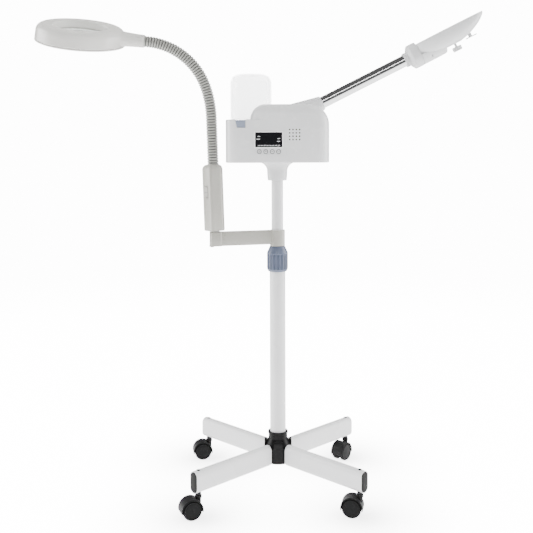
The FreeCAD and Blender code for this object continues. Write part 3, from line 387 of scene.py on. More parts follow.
def chromePlate():
    finish = Finish("chromePlate", Metallic=1.0, Base_Color=colour(0.88, 0.885, 0.89))
    scratches = finish.stretchedNoise((30, 900, 900))
    haze = finish.noise(40, 4)
    finish.feed("Roughness", scratches * 0.02 + haze * 0.02 + 0.01)
    finish.bump(haze, 0.002, 0.0002)
    return finish


def clearPlastic(name, tint, rough, through, alpha=1.0):
    finish = Finish(name, Base_Color=colour(*tint), Transmission_Weight=through, IOR=1.46)
    flow = finish.noise(14, 3)
    scuffs = finish.stretchedNoise((60, 60, 900))
    finish.feed("Roughness", flow * 0.06 + scuffs * 0.05 + (rough - 0.05))
    finish.bump(flow, 0.05, 0.001)
    if alpha < 1:
        finish.feed("Alpha", flow * 0.04 + (alpha - 0.02))
    return finish


def tankPlastic():
    # milky clear plastic, thin enough to see through
    finish = Finish("clearTank", IOR=1.46, Coat_Weight=0.5, Coat_Roughness=0.06)
    flow = finish.noise(14, 3)
    scuffs = finish.stretchedNoise((60, 60, 900))
    finish.feed("Base Color", finish.mix(flow, colour(0.92, 0.925, 0.93), colour(0.86, 0.87, 0.88)))
    finish.feed("Roughness", flow * 0.06 + scuffs * 0.05 + 0.1)
    finish.feed("Alpha", flow * 0.08 + 0.26)
    finish.bump(flow, 0.05, 0.001)
    return finish


def neckSteel():
    # coated spiral strip: pale on the crests, dull and dark in the grooves, where the dark colour is painted shade
    finish = Finish("neckSteel", Metallic=0.35)
    edge = finish.node("ShaderNodeAttribute", {"attribute_name": "crest"}, output="Fac")
    wearAndShadeNoise = finish.noise(160, 4)
    # painted shade: the colour goes near black down in the grooves and pale up on the crests, with noise breaking
    # the edge
    crest = finish.ramp(edge + wearAndShadeNoise * 0.3 - 0.15, [(0.25, 0), (0.75, 1)])
    finish.feed("Base Color", finish.mix(crest, colour(0.05, 0.05, 0.047), colour(0.36, 0.362, 0.338)))
    finish.feed("Roughness", wearAndShadeNoise * 0.15 + (1 - crest) * 0.15 + 0.24)
    finish.bump(finish.noise(700, 3), 0.05, 0.0003)
    return finish


def displayGlass():
    finish = Finish("displayGlass", IOR=1.5, Coat_Weight=0.1, Coat_Roughness=0.03, Specular_IOR_Level=0.15)
    smudge = finish.noise(45, 5)
    finish.feed("Base Color", finish.mix(smudge, colour(0.0016, 0.0016, 0.002), colour(0.0034, 0.0034,
            0.004)))
    finish.feed("Roughness", smudge * 0.18 + 0.05)
    finish.bump(smudge, 0.01, 0.0002)
    return finish


def circuitGreen():
    finish = Finish("circuitGreen")
    tracks = finish.node("ShaderNodeTexBrick", None, {"Vector": finish.place(), "Scale": 60.0,
                                                      "Mortar Size": 0.03,
                                                      "Color1": colour(0.01, 0.1, 0.04),
                                                      "Color2": colour(0.01, 0.14, 0.05),
                                                      "Mortar": colour(0.35, 0.3, 0.1)})
    finish.feed("Base Color", tracks)
    finish.feed("Roughness", finish.noise(120) * 0.2 + 0.3)
    return finish


finishes = {
    "powderCoat": powderCoat(),
    "glossShell": mouldedPlastic("glossShell", (0.78, 0.785, 0.79), (0.73, 0.735, 0.745), 0.26, 1200, 0.035,
                                 0.45),
    "nozzleShell": mouldedPlastic("nozzleShell", (0.74, 0.745, 0.75), (0.69, 0.695, 0.70), 0.34, 1100, 0.05,
                                  0.2),
    "lampShell": mouldedPlastic("lampShell", (0.425, 0.417, 0.378), (0.39, 0.382, 0.345), 0.30, 1100, 0.045,
                                0.3),
    "ringShell": mouldedPlastic("ringShell", (0.70, 0.692, 0.66), (0.66, 0.652, 0.62), 0.24, 1100, 0.045,
                                0.4),
    "switchShell": mouldedPlastic("switchShell", (0.42, 0.415, 0.39), (0.38, 0.375, 0.35), 0.34, 1000, 0.05,
                                  0.2),
    "collarBlue": mouldedPlastic("collarBlue", (0.108, 0.130, 0.198), (0.092, 0.112, 0.170), 0.36, 700,
                                 0.08, 0.15),
    "tankCapBlue": mouldedPlastic("tankCapBlue", (0.32, 0.36, 0.47), (0.28, 0.32, 0.42), 0.36, 700, 0.08,
                                  0.1),
    "hubBlack": mouldedPlastic("hubBlack", (0.0012, 0.0012, 0.0013), (0.0024, 0.0024, 0.0026), 0.32, 800,
                               0.07, 0.03,
                               Specular_IOR_Level=0.14),
    "casterBlack": mouldedPlastic("casterBlack", (0.0032, 0.0032, 0.0034), (0.0065, 0.0065, 0.0068), 0.45,
                                  500, 0.14,
                                  Specular_IOR_Level=0.18),
    "wheelBlack": mouldedPlastic("wheelBlack", (0.0018, 0.0018, 0.0019), (0.0035, 0.0035, 0.0037), 0.42,
                                 600, 0.10,
                                 Specular_IOR_Level=0.13),
    "capBlack": mouldedPlastic("capBlack", (0.0022, 0.0022, 0.0023), (0.0045, 0.0045, 0.0047), 0.42, 600,
                               0.12,
                               Specular_IOR_Level=0.16),
    "nylon": mouldedPlastic("nylon", (0.70, 0.69, 0.64), (0.64, 0.63, 0.58), 0.4, 700, 0.08),
    "opal": mouldedPlastic("opal", (0.86, 0.86, 0.83), (0.82, 0.82, 0.79), 0.35, 900, 0.04, 0.2,
                           Emission_Color=colour(1, 1, 0.97), Emission_Strength=0.15),
    "frameWhite": mouldedPlastic("frameWhite", (0.93, 0.93, 0.93), (0.90, 0.90, 0.90), 0.3, 1100, 0.03, 0.3),
    "printPale": mouldedPlastic("printPale", (0.60, 0.60, 0.60), (0.66, 0.66, 0.66), 0.5, 900, 0.05),
    "printMid": mouldedPlastic("printMid", (0.06, 0.06, 0.065), (0.09, 0.09, 0.095), 0.5, 900, 0.05),
    "printGrey": mouldedPlastic("printGrey", (0.20, 0.20, 0.21), (0.26, 0.26, 0.27), 0.5, 900, 0.05),
    "printWhite": mouldedPlastic("printWhite", (0.55, 0.56, 0.57), (0.48, 0.49, 0.50), 0.5, 900, 0.05,
                                 Emission_Color=colour(0.8, 0.85, 0.9), Emission_Strength=0.1),
    "zincSteel": brushedMetal("zincSteel", (0.62, 0.62, 0.60), 0.34, (90, 90, 700)),
    "darkZinc": brushedMetal("darkZinc", (0.045, 0.045, 0.048), 0.42, (90, 90, 700)),
    "castAluminium": brushedMetal("castAluminium", (0.60, 0.60, 0.60), 0.45, (240, 240, 240), 0.2),
    "chromePlate": chromePlate(),
    "clearTank": tankPlastic(),
    "lensGlass": clearPlastic("lensGlass", (0.90, 0.95, 0.93), 0.05, 0.96),
    "neckSteel": neckSteel(),
    "displayGlass": displayGlass(),
    "circuitGreen": circuitGreen(),
}
print("materials made:", len(finishes))

cadFinish = {
    "powderCoat": ["leg_" + corner for corner in corners] + ["lower_tube", "upper_tube"],
    "hubBlack": ["base_hub"],
    "capBlack": ["leg_end_caps", "stem_bushes"],
    "casterBlack": ["caster_body_" + corner for corner in corners],
    "wheelBlack": [f"wheel_{corner}_{side}" for corner in corners for side in "ab"],
    "darkZinc": ["caster_stems"],
    "zincSteel": ["hub_screws", "bracket_pin", "heating_element", "steam_pipe"]
                 + ["caster_axle_" + corner for corner in corners],
    "nylon": ["collet"],
    "collarBlue": ["lock_collar"],
    "tankCapBlue": ["tank_cap"],
    "lampShell": ["lamp_bracket", "handle_outer_half", "handle_inner_half", "ring_top_shell"],
    "opal": ["light_ring", "ring_bottom_shell"],
    "switchShell": ["lamp_switch"],
    "neckSteel": ["gooseneck_lower", "gooseneck_middle", "gooseneck_upper"],
    "lensGlass": ["lens"],
    "glossShell": ["front_shell", "rear_shell", "neck_socket", "button_1", "button_2", "button_3",
                   "button_4"],
    "nozzleShell": ["nozzle_body", "nozzle_hood", "nozzle_knob", "swivel_nut"],
    "clearTank": ["water_tank"],
    "displayGlass": ["display_window"],
    "circuitGreen": ["circuit_board"],
    "castAluminium": ["boiler"],
    "chromePlate": ["steam_arm"],
}
for finishName, nodes in cadFinish.items():
    for node in nodes:
        for place in frame["nodes"][node].material_slots:
            place.material = finishes[finishName].material


neck = {"pitch": 6.4, "crest": 13.5, "groove": 11.5, "sides": 30, "tight": 0.160, "tightTurn": 28,
        "endTurn": 37.5,
        "soft": 0.250, "softTurn": 16, "tail": 0.016, "splits": (9, 30, 60)}


def neckCurve():
    # a Bezier along the neck: straight, a gentle bend, a tighter bend, straight into the ferrule
    start = jointPoint("neck_bend_base")
    up = handleUp.copy()
    out = Vector((0, 1, 0)).cross(up) * -1  # the side it bends to
    points = [(start, up.copy(), 0)]
    here = jointPoint("neck_bend_middle")
    points.append((here.copy(), up.copy(), (here - start).length / 3))
    for radius, turn in ((neck["soft"], neck["softTurn"]), (neck["tight"], neck["tightTurn"]),
                         (neck["tight"], neck["endTurn"])):
        spin = Matrix.Rotation(-math.radians(turn), 3, "Y")
        middle = here + out * radius
        here = middle + spin @ (here - middle)
        up = spin @ up
        out = spin @ out
        points.append((here.copy(), up.copy(), radius * 4 / 3 * math.tan(math.radians(turn) / 4)))
    here = here + up * neck["tail"]
    points.append((here.copy(), up.copy(), neck["tail"] / 3))
    data = bpy.data.curves.new("neckLine", "CURVE")
    data.dimensions = "3D"
    data.twist_mode = "MINIMUM"
    data.resolution_u = 48
    spline = data.splines.new("BEZIER")
    spline.bezier_points.add(len(points) - 1)
    for index, (spot, way, before) in enumerate(points):
        after = points[index + 1][2] if index + 1 < len(points) else before
        point = spline.bezier_points[index]
        point.handle_left_type = "FREE"
        point.handle_right_type = "FREE"
        point.co = spot
        point.handle_left = spot - way * before
        point.handle_right = spot + way * after
    line = bpy.data.objects.new("neckLine", data)
    bpy.context.scene.collection.objects.link(line)
    return line, points


def neckPiece(name, line, first, last):
    # one wound ring, repeated, then laid along the line
    pitch = neck["pitch"]
    crest = neck["crest"]
    groove = neck["groove"]
    low = first * pitch
    piece = turnUp(name, [(groove, low), (groove, low + 0.9), (crest - 0.7, low + 1.5), (crest - 0.1,
            low + 2.3),
                          (crest, low + 3.6), (crest - 0.2, low + 5), (crest - 0.9, low + 5.8),
                          (groove, low + pitch)], neck["sides"])
    crests = piece.data.attributes.new("crest", "FLOAT", "POINT")
    for vertex in piece.data.vertices:
        radius = math.hypot(vertex.co.x, vertex.co.y) / mm
        crests.data[vertex.index].value = max(0, min(1, (radius - groove) / (crest - groove)))
    applyModifier(piece, "ARRAY", {"count": last - first, "use_relative_offset": False,
                                   "use_constant_offset": True,
                                   "constant_offset_displace": (0, 0, pitch * mm), "use_merge_vertices": True,
                                   "merge_threshold": 0.00002})
    applyModifier(piece, "CURVE", {"object": line, "deform_axis": "POS_Z"})
    takeUp(piece)
    bpy.ops.object.shade_smooth_by_angle(angle=math.radians(50))
    return piece


def makeGooseneck():
    line, points = neckCurve()
    jointNames = ("neck_bend_base", "neck_bend_middle", "neck_bend_upper")
    nodes = ("gooseneck_lower", "gooseneck_middle", "gooseneck_upper")
    first = 0
    for index, last in enumerate(neck["splits"]):
        piece = neckPiece(("neckFoot", "neckMiddle", "neckTop")[index], line, first, last)
        piece.data.materials.append(finishes["neckSteel"].material)
        spot = jointPoint(jointNames[index])
        way = (handleUp, handleUp, points[3][1])[index]
        reach = (0.004, 0.032, 0.036)[index]
        tuple(spot - way * reach * (index > 0))
        tuple(spot + way * (0.045, 0.032, 0.036)[index])
        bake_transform(piece)
        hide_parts(nodes[index])
        first = last
    bpy.data.objects.remove(line)
    print("gooseneck wound")


makeGooseneck()


magnifier = {"outer": 105, "inner": 64, "half": 20, "collar": 15.5}


def makeRingShell():
    outer = magnifier["outer"]
    inner = magnifier["inner"]
    half = magnifier["half"]
    shell = turnUp("ringShell", [(inner, -half + 3.2), (inner, half - 4)] + arc(inner + 3, half - 3, 3, 180,
            90, 5)
                   + [(outer - 30, half)] + arc(outer - 19, half - 17, 17, 88, 12, 10)
                   + [(outer - 0.6, -half + 8), (outer, -half + 4), (outer - 1.2, -half + 3.2), (inner,
                           -half + 3.2)], 128)
    # the tail runs from the collar on the neck and widens into the ring wall
    reach = -lens["reach"]
    deselectAll()
    collar = magnifier["collar"]
    bpy.ops.mesh.primitive_circle_add(vertices=48, radius=collar * mm, fill_type="NGON")
    tail = bpy.context.object
    setPlace(tail, Matrix.Translation((( reach - 6) * mm, 0, 0)) @ alongX)
    bpy.ops.object.mode_set(mode="EDIT")
    bpy.ops.mesh.select_all(action="SELECT")
    wide = collar
    high = collar
    spot = reach - 6
    for step, nextWide, nextHigh in ((14, 15.6, 15.6), (10, 17, 16), (10, 20, 16.4), (10, 25, 16.8), (10,
            33, 17.2),
                                     (10, 45, 17.6), (9, 60, 18)):
        bpy.ops.mesh.extrude_region_move(TRANSFORM_OT_translate={"value": (step * mm, 0, 0)})
        spot += step
        bpy.ops.transform.resize(value=(1, nextWide / wide, nextHigh / high), center_override=(spot * mm, 0,
                0))
        wide = nextWide
        high = nextHigh
    closeUp(tail)
    cutWith(shell, tail, "UNION")
    hole = turnUp("ringHole", [(0, -60), (inner, -60), (inner, 60), (0, 60)], 128)
    cutWith(shell, hole)
    applyModifier(shell, "REMESH", {"mode": "VOXEL", "voxel_size": 0.0016, "use_smooth_shade": True})
    applyModifier(shell, "SMOOTH", {"factor": 0.6, "iterations": 14})
    hollow = turnUp("ringHollow", [(inner + 2.6, -half - 4), (inner + 2.6, half - 6), (inner + 5, half - 3),
                                   (outer - 26, half - 3), (outer - 10, half - 12), (outer - 5, half - 24),
                                   (outer - 3, -half + 6), (outer - 3, -half - 4), (inner + 2.6,
                                           -half - 4)], 96)
    cutWith(shell, hollow)
    closeUp(shell, 40)
    setPlace(shell, ringMatrix)
    return finishPiece(shell, "magnifier", finishes["ringShell"], ["ring_top_shell"])


def makeLens():
    glass = turnUp("lensGlass", [(0, -4.6), (22, -4.1), (42, -2.9), (58, -1.6), (63.2, -1.2), (63.2, 1.2),
                                 (58, 1.6),
                                 (42, 2.9), (22, 4.1), (0, 4.6)], 96)
    applyModifier(glass, "SUBSURF", {"levels": 1, "render_levels": 1})
    closeUp(glass, 40)
    setPlace(glass, ringMatrix)
    finishPiece(glass, "magnifier", finishes["lensGlass"], ["lens"])
    inner = magnifier["inner"]
    gasket = turnUp("lensGasket", [(inner - 1.6, -2), (inner - 1.9, 0), (inner - 1.6, 2), (inner - 0.3, 2.6),
                                   (inner + 0.6, 0), (inner - 0.3, -2.6), (inner - 1.6, -2)], 96)
    setPlace(gasket, ringMatrix)
    finishPiece(gasket, "magnifier", finishes["switchShell"])


makeRingShell()
makeLens()
print("magnifier made")


def markRing(name, outer, inner, high):
    return turnUp(name, [(inner, 0), (outer, 0), (outer, high), (inner, high), (inner, 0)], 32)


def makeHandleMarks():
    # a ring and a dash on the switch face
    face = 21.0
    ring = markRing("switchRing", 3.0, 2.2, 0.25)
    setPlace(ring, handleMatrix @ Matrix.Translation(((face + 1.3) * mm, 0, 103.4 * mm)) @ alongX)
    dash = block("switchDash", (face + 1.2, -6.5, 91.2), (face + 1.5, 6.5, 92.8))
    softEdges(dash, 0.0001)
    setPlace(dash, handleMatrix)
    for piece in (ring, dash):
        finishPiece(piece, "lamp_switch", finishes["printGrey"])


makeHandleMarks()


def bevelWhere(piece, wanted, width, segments, profile=0.5):
    pickEdges(piece, wanted)
    bpy.ops.mesh.bevel(offset=width * mm, segments=segments, profile=profile, clamp_overlap=False)
    bpy.ops.object.mode_set(mode="OBJECT")


def lies(edge, **places):
    # both ends of the edge at these x, y or z in mm
    return all(abs(vertex.co["xyz".index(way)] / mm - spot) < 0.05 for vertex in edge.verts
               for way, spot in places.items())


def flutes(piece, count, scale, low, high):
    # every third and fourth vertex of a lathe ring is drawn in, which leaves ribs
    takeUp(piece)
    bpy.ops.object.mode_set(mode="EDIT")
    bpy.ops.mesh.select_mode(type="VERT")
    bpy.ops.mesh.select_all(action="DESELECT")
    cage = bmesh.from_edit_mesh(piece.data)
    step = math.tau / (count * 4)
    for vertex in cage.verts:
        turn = round(math.atan2(vertex.co.y, vertex.co.x) / step) % 4
        radius = math.hypot(vertex.co.x, vertex.co.y) / mm
        vertex.select_set(turn >= 2 and low <= vertex.co.z / mm <= high and radius > scale[1])
    bmesh.update_edit_mesh(piece.data)
    bpy.ops.transform.resize(value=(scale[0], scale[0], 1), center_override=(0, 0, 0))
    bpy.ops.object.mode_set(mode="OBJECT")


def roundedSlab(name, wide, tall, thick, corner, edge=0.6):
    # an upright plate in the YZ plane, from x = 0 to x = thick, middle at the origin
    plate = block(name, (0, -wide / 2, -tall / 2), (thick, wide / 2, tall / 2))
    bevelWhere(plate, lambda e: abs(e.verts[0].co.y - e.verts[1].co.y) < 1e-6
               and abs(e.verts[0].co.z - e.verts[1].co.z) < 1e-6, corner, 12)
    if edge:
        softEdges(plate, edge * mm, 3, 60)
    return plate


housing = {"left": -121.3, "right": 121.5, "front": -85, "rear": 85, "low": 791, "seat": 892, "roof": 928,
           "step": -63,
           "corner": 31, "rightShoulder": 48.6, "leftShoulder": 34, "wall": 2.4, "split": -20, "seam": 0.15,
           "tankBack": 20, "tankRoom": 53, "well": 28}
window = {"left": -51.8, "right": 10.7, "low": 827.6, "high": 861.8, "frame": 3}
buttonRow = {"places": (-42.3, -27.4, -12.3, 2.4), "high": 817}


def housingSolid():
    # the low part with the tank seat and the raised part with its round shoulders, joined
    h = housing
    raised = block("housingRaised", (h["step"], h["front"], 740), (h["right"], h["rear"], h["roof"]))
    bevelWhere(raised, lambda e: lies(e, x=h["right"], z=h["roof"]), h["rightShoulder"], 14)
    bevelWhere(raised, lambda e: lies(e, x=h["step"], z=h["roof"]), h["leftShoulder"], 12)
    bevelWhere(raised, lambda e: lies(e, y=h["front"]) or lies(e, y=h["rear"]), h["corner"], 10)
    low = block("housingLow", (h["left"], h["front"], 740), (-20, h["rear"], h["seat"]))
    bevelWhere(low, lambda e: lies(e, x=h["left"], y=h["front"]) or lies(e, x=h["left"], y=h["rear"]),
               h["corner"], 10)
    bevelWhere(low, lambda e: lies(e, z=h["seat"]) and not lies(e, x=-20), 2.5, 3)
    cutWith(raised, low, "UNION")
    takeUp(raised)
    bpy.ops.object.mode_set(mode="EDIT")
    bpy.ops.mesh.select_all(action="SELECT")
    bpy.ops.mesh.bisect(plane_co=(0, 0, h["low"] * mm), plane_no=(0, 0, 1), use_fill=True, clear_inner=True)
    bpy.ops.object.mode_set(mode="OBJECT")
    bevelWhere(raised, lambda e: lies(e, z=h["low"]), 2.5, 3)
    cutWith(raised, rod("tankRoom", h["tankRoom"], (h["step"], h["tankBack"], h["seat"]),
                        (h["step"], h["tankBack"], 990), 96))
    cutWith(raised, block("tankSide", (-140, h["tankBack"] - h["tankRoom"], h["seat"]), (-18, 100, 990)))
    closeUp(raised, 35)
    return raised


vents = {"count": 4, "left": 28, "low": 844.8, "pitch": 7.7, "radius": 1.75}


def makeHousing():
    h = housing
    rear = housingSolid()
    front = copyOf(rear, "frontShell")
    rear.name = "rearShell"
    cutWith(front, block("frontKeep", (-200, -200, 700), (300, h["split"] - h["seam"], 1100)), "INTERSECT")
    cutWith(rear, block("rearKeep", (-200, h["split"] + h["seam"], 700), (300, 200, 1100)), "INTERSECT")
    # the cone that holds the arm belongs to the rear shell, cut flat where the front shell's shoulder covers it
    boss = turnUp("armBoss", [(0, -78), (33.6, -78), (17.2, -1.2), (16.6, -0.3), (15.8, 0), (0, 0)], 96)
    setPlace(boss, armMatrix @ alongX)
    cutWith(boss, block("bossKeep", (-200, h["split"] + h["seam"], 700), (300, 200, 1100)), "INTERSECT")
    cutWith(rear, boss, "UNION")
    for piece in (front, rear):
        closeUp(piece, 32)
        applyModifier(piece, "SOLIDIFY", {"thickness": h["wall"] * mm, "offset": -1,
                                          "use_even_offset": False})
    ports = [rod(f"button{x}", 5.7, (x, -95, buttonRow["high"]), (x, -75,
                                                                  buttonRow["high"])) for x in buttonRow["places"]]
    # black plugs nearly fill the vent holes, on a black plate behind them: painted shade for the dark insides of
    # the holes
    holeShades = []
    for row in range(vents["count"]):
        for column in range(vents["count"]):
            x = vents["left"] + column * vents["pitch"]
            z = vents["low"] + row * vents["pitch"]
            ports.append(rod(f"vent{row}{column}", vents["radius"], (x, -95, z), (x, -78, z), 20))
            holeShades.append(rod(f"ventHoleShade{row}{column}", 1.74, (x, -84.55, z), (x, -81.8, z), 20))
    ports.append(block("windowHole", (window["left"], -95, window["low"]), (window["right"], -75,
            window["high"])))
    cutWith(front, joinAll(ports, "ports"))
    cutWith(rear, joinAll([rod("glandHole", 4.6, (60, 75, 815), (60, 95, 815)),
                           rod("floorHole", 19.1, (0, 0, 780), (0, 0, 800))], "rearPorts"))
    armStart = armMatrix @ Vector((-0.06, 0, 0)) / mm
    armEnd = armMatrix @ Vector((0.01, 0, 0)) / mm
    cutWith(rear, rod("armBore", 14.1, armStart, armEnd, 64))
    for piece in (front, rear):
        cutWith(piece, rod("well", h["well"], (h["step"], h["tankBack"], 880), (h["step"], h["tankBack"],
                900), 64))
        # the finger notch has one slanting side
        notch = block("notch", (-94, -95, 872.5), (-74, 20, 900))
        pickEdges(notch, lambda e: lies(e, x=-94, z=900))
        bpy.ops.transform.translate(value=(-0.006, 0, 0))
        bpy.ops.object.mode_set(mode="OBJECT")
        cutWith(piece, notch)
    gland = rod("mainsGland", 9, (60, 80, 815), (60, 87.2, 815), 48)
    softEdges(gland, 0.0012, 3)
    cutWith(gland, rod("glandBore", 4.6, (60, 70, 815), (60, 95, 815), 48))
    # the black plate behind the vents carries the plugs; together they are painted shade for the holes
    ventShade = block("ventShadePlate", (23, -82.2, 840), (56, -81.2, 873))
    softEdges(ventShade, 0.0003, 2)
    ventShade = joinAll([ventShade] + holeShades, "ventShadePlate")
    finishPiece(ventShade, "steamer_head", finishes["capBlack"])
    for piece, node in ((front, "front_shell"), (rear, "rear_shell")):
        closeUp(piece, 32)
        finishPiece(piece, "steamer_head", finishes["glossShell"], [node])
    closeUp(gland, 32)
    finishPiece(gland, "steamer_head", finishes["capBlack"])
    print("housing made")


def makeTankCatch():
    # the ribbed catch in the notch before the tank, fixed to the head
    catch = block("tankCatch", (-94, -83.4, 873.4), (-74.6, -62, 890.6))
    pickEdges(catch, lambda e: lies(e, x=-94, z=890.6))
    bpy.ops.transform.translate(value=(-0.0045, 0, 0))
    bpy.ops.object.mode_set(mode="OBJECT")
    grooves = [block(f"groove{step}", (-120, -86, 876.4 + step * 3.4), (-60, -82.6, 877.8 + step * 3.4))
               for step in range(4)]
    cutWith(catch, joinAll(grooves, "grooves"))
    softEdges(catch, 0.0004, 2)
    closeUp(catch, 30)
    finishPiece(catch, "steamer_head", finishes["tankCapBlue"])
    print("tank catch made")


def framePlate(name, left, right, low, high, rim, thick):
    # a flat raised frame on the front face
    plate = block(name, (left - rim, -85 - thick, low - rim), (right + rim, -84.6, high + rim))
    bevelWhere(plate, lambda e: abs(e.verts[0].co.x - e.verts[1].co.x) < 1e-6
               and abs(e.verts[0].co.z - e.verts[1].co.z) < 1e-6, 2.2, 5)
    cutWith(plate, block("frameHole", (left, -95, low), (right, -75, high)))
    softEdges(plate, 0.0003, 2)
    closeUp(plate, 30)
    return plate


def makePanel():
    finishPiece(framePlate("displayFrame", window["left"], window["right"], window["low"], window["high"],
                           window["frame"], 0.9), "steamer_head", finishes["frameWhite"])
    # generic bars stand in for the signs on the display
    bars = [(-43.4, 852.2, 6, 1.7), (-44.6, 846, 8, 2), (3, 847.3, 6, 1.7), (2.4, 840.8, 6.6, 1.9)]
    bars += [(-43 + index * 6.6, 831.4, 5, 1.6) for index in range(8)]
    marks = [block(f"bar{index}", (x - wide / 2, -85.85, z - tall / 2), (x + wide / 2, -85.5, z + tall / 2))
             for index, (x, z, wide, tall) in enumerate(bars)]
    marks = joinAll(marks, "displayMarks")
    softEdges(marks, 0.00008, 1)
    finishPiece(marks, "steamer_head", finishes["printWhite"])
    line = block("panelLine", (19.9, -85.12, 809), (20.7, -84.8, 824))
    softEdges(line, 0.0001, 1)
    finishPiece(line, "steamer_head", finishes["printPale"])
    glyphs = (((0, 1.1, 4.6, 0.8), (0, -1.1, 4.6, 0.8)), ((0, 0, 4.8, 0.9), (0, 1.8, 2.4, 0.8)),
              ((0, 0, 5, 1.1),), ((-1.3, 0, 0.9, 3), (1.2, 0, 2.4, 0.9)))
    for index, x in enumerate(buttonRow["places"]):
        ring = turnUp(f"buttonMark_{index + 1}", [(4.0, 0), (5.3, 0), (5.3, 0.12), (4.0, 0.12), (4.0, 0)], 40)
        setPlace(ring, Matrix.Translation((x * mm, -0.0864,
                                           buttonRow["high"] * mm)) @ Matrix.Rotation(math.pi / 2, 4, "X"))
        signs = [block("sign", (x + u - wide / 2, -86.52, buttonRow["high"] + v - tall / 2),
                       (x + u + wide / 2, -86.38, buttonRow["high"] + v + tall / 2)) for u, v, wide,
                       tall in glyphs[index]]
        mark = joinAll([ring] + signs, f"buttonMark_{index + 1}")
        finishPiece(mark, f"button_{index + 1}", finishes["printMid"])
    print("panel made")


def makeNeckSocket():
    rings = [(14.06, 748.4), (14.06, 747.6), (14.6, 747), (21.9, 747), (22.7, 747.8), (23.4, 753), (24, 762)]
    rings += arc(45.5, 769, 21.2, 180, 98, 10)
    rings += [(43, 790.8), (19, 790.9), (19, 806), (0, 806), (0, 800.4), (14.06, 800.4), (14.06, 748.4)]
    socket = turnUp("neckSocket", rings, 96)
    finishPiece(socket, "steamer_head", finishes["glossShell"], ["neck_socket"])


def makeNozzle():
    nut = turnUp("swivelNut", [(14.1, 220.6), (16.2, 220.6), (17.3, 221.8), (17.3, 223.2), (17.5, 223.6),
                               (17.5, 228.4),
                               (17, 229), (16.4, 229.4), (16.4, 231.8), (14.1, 231.8), (14.1, 220.6)], 112)
    flutes(nut, 28, (0.945, 16.9), 221.5, 228.6)
    setPlace(nut, armMatrix @ alongX)
    closeUp(nut, 30)
    finishPiece(nut, "nozzle", finishes["nozzleShell"], ["swivel_nut"])
    drum = turnUp("nozzleDrum", [(14.1, 232.1), (20.4, 232.1), (21.6, 232.7), (28.6, 237.4), (29.8, 238.8),
                                 (30, 240),
                                 (30, 257.2), (29.6, 258.3), (28.4, 258.7), (4.6, 258.7), (4.6, 246.4),
                                 (14.1, 246.4),
                                 (14.1, 232.1)], 96)
    setPlace(drum, armMatrix @ alongX)
    finishPiece(drum, "nozzle", finishes["nozzleShell"], ["nozzle_body"])
    makeHood()
    chin = turnUp("nozzleChin", [(0, 259.1), (28.6, 259.1), (29.5, 260), (29.5, 296), (28.7, 318), (27.6,
            321),
                                 (25.6, 322.2), (0, 322.2)], 96)
    setPlace(chin, armMatrix @ alongX)
    cutWith(chin, block("chinTop", (200, -60, -5), (400, 60, 60), armMatrix))
    cutWith(chin, block("chinSlot", (281.2, -40, -22.2), (283, -20.2, -16.8), armMatrix))
    closeUp(chin, 30)
    finishPiece(chin, "nozzle", finishes["nozzleShell"])
    # a dark grey plate set inside the chin slot is painted shade for the slot's dark inside
    slotShade = block("chinSlotShade", (281.3, -21.2, -22.1), (282.9, -20.1, -16.9), armMatrix)
    softEdges(slotShade, 0.0001, 1)
    finishPiece(slotShade, "nozzle", finishes["printGrey"])
    knobPlace = (armMatrix.inverted() @ jointPoint("nozzle_knob_turn")).x / mm
    knobMatrix = armMatrix @ Matrix.Translation((knobPlace * mm, 0, 0))
    knob = turnUp("nozzleKnob", [(0, -36.6), (8.6, -36.6), (10.4, -36.2), (11.3, -35.2), (11.5, -33.6),
                                 (11.5, -27.4),
                                 (11, -26), (9.6, -25.4), (3.4, -25.4), (2.9, -24.8), (2.9, -14), (0, -14)],
                                 64)
    flutes(knob, 16, (0.955, 11), -35.5, -26.5)
    closeUp(knob, 30)
    setPlace(knob, knobMatrix)
    finishPiece(knob, "nozzle_knob", finishes["nozzleShell"], ["nozzle_knob"])
    print("nozzle made")


# places along the arm, half width and floor of the scoop
hood = {"rim": 23, "wall": 2.2, "sections": [
    (259.1, 30, -8), (264, 33.5, -9.4), (272, 38.5, -11.4), (285, 44, -14), (300, 48.4, -16.4), (319, 51.4,
            -18.3),
    (340, 52, -18.6), (361, 51.8, -18.4), (377, 50.8, -14.8), (392, 48.4, -9.8), (405, 44.6, -3.8), (415,
            40.2, 1.4),
    (423, 35, 6.8), (429, 29, 11.8), (433.5, 22, 16.2), (436, 14.5, 19.4), (436.9, 8, 21.4)]}


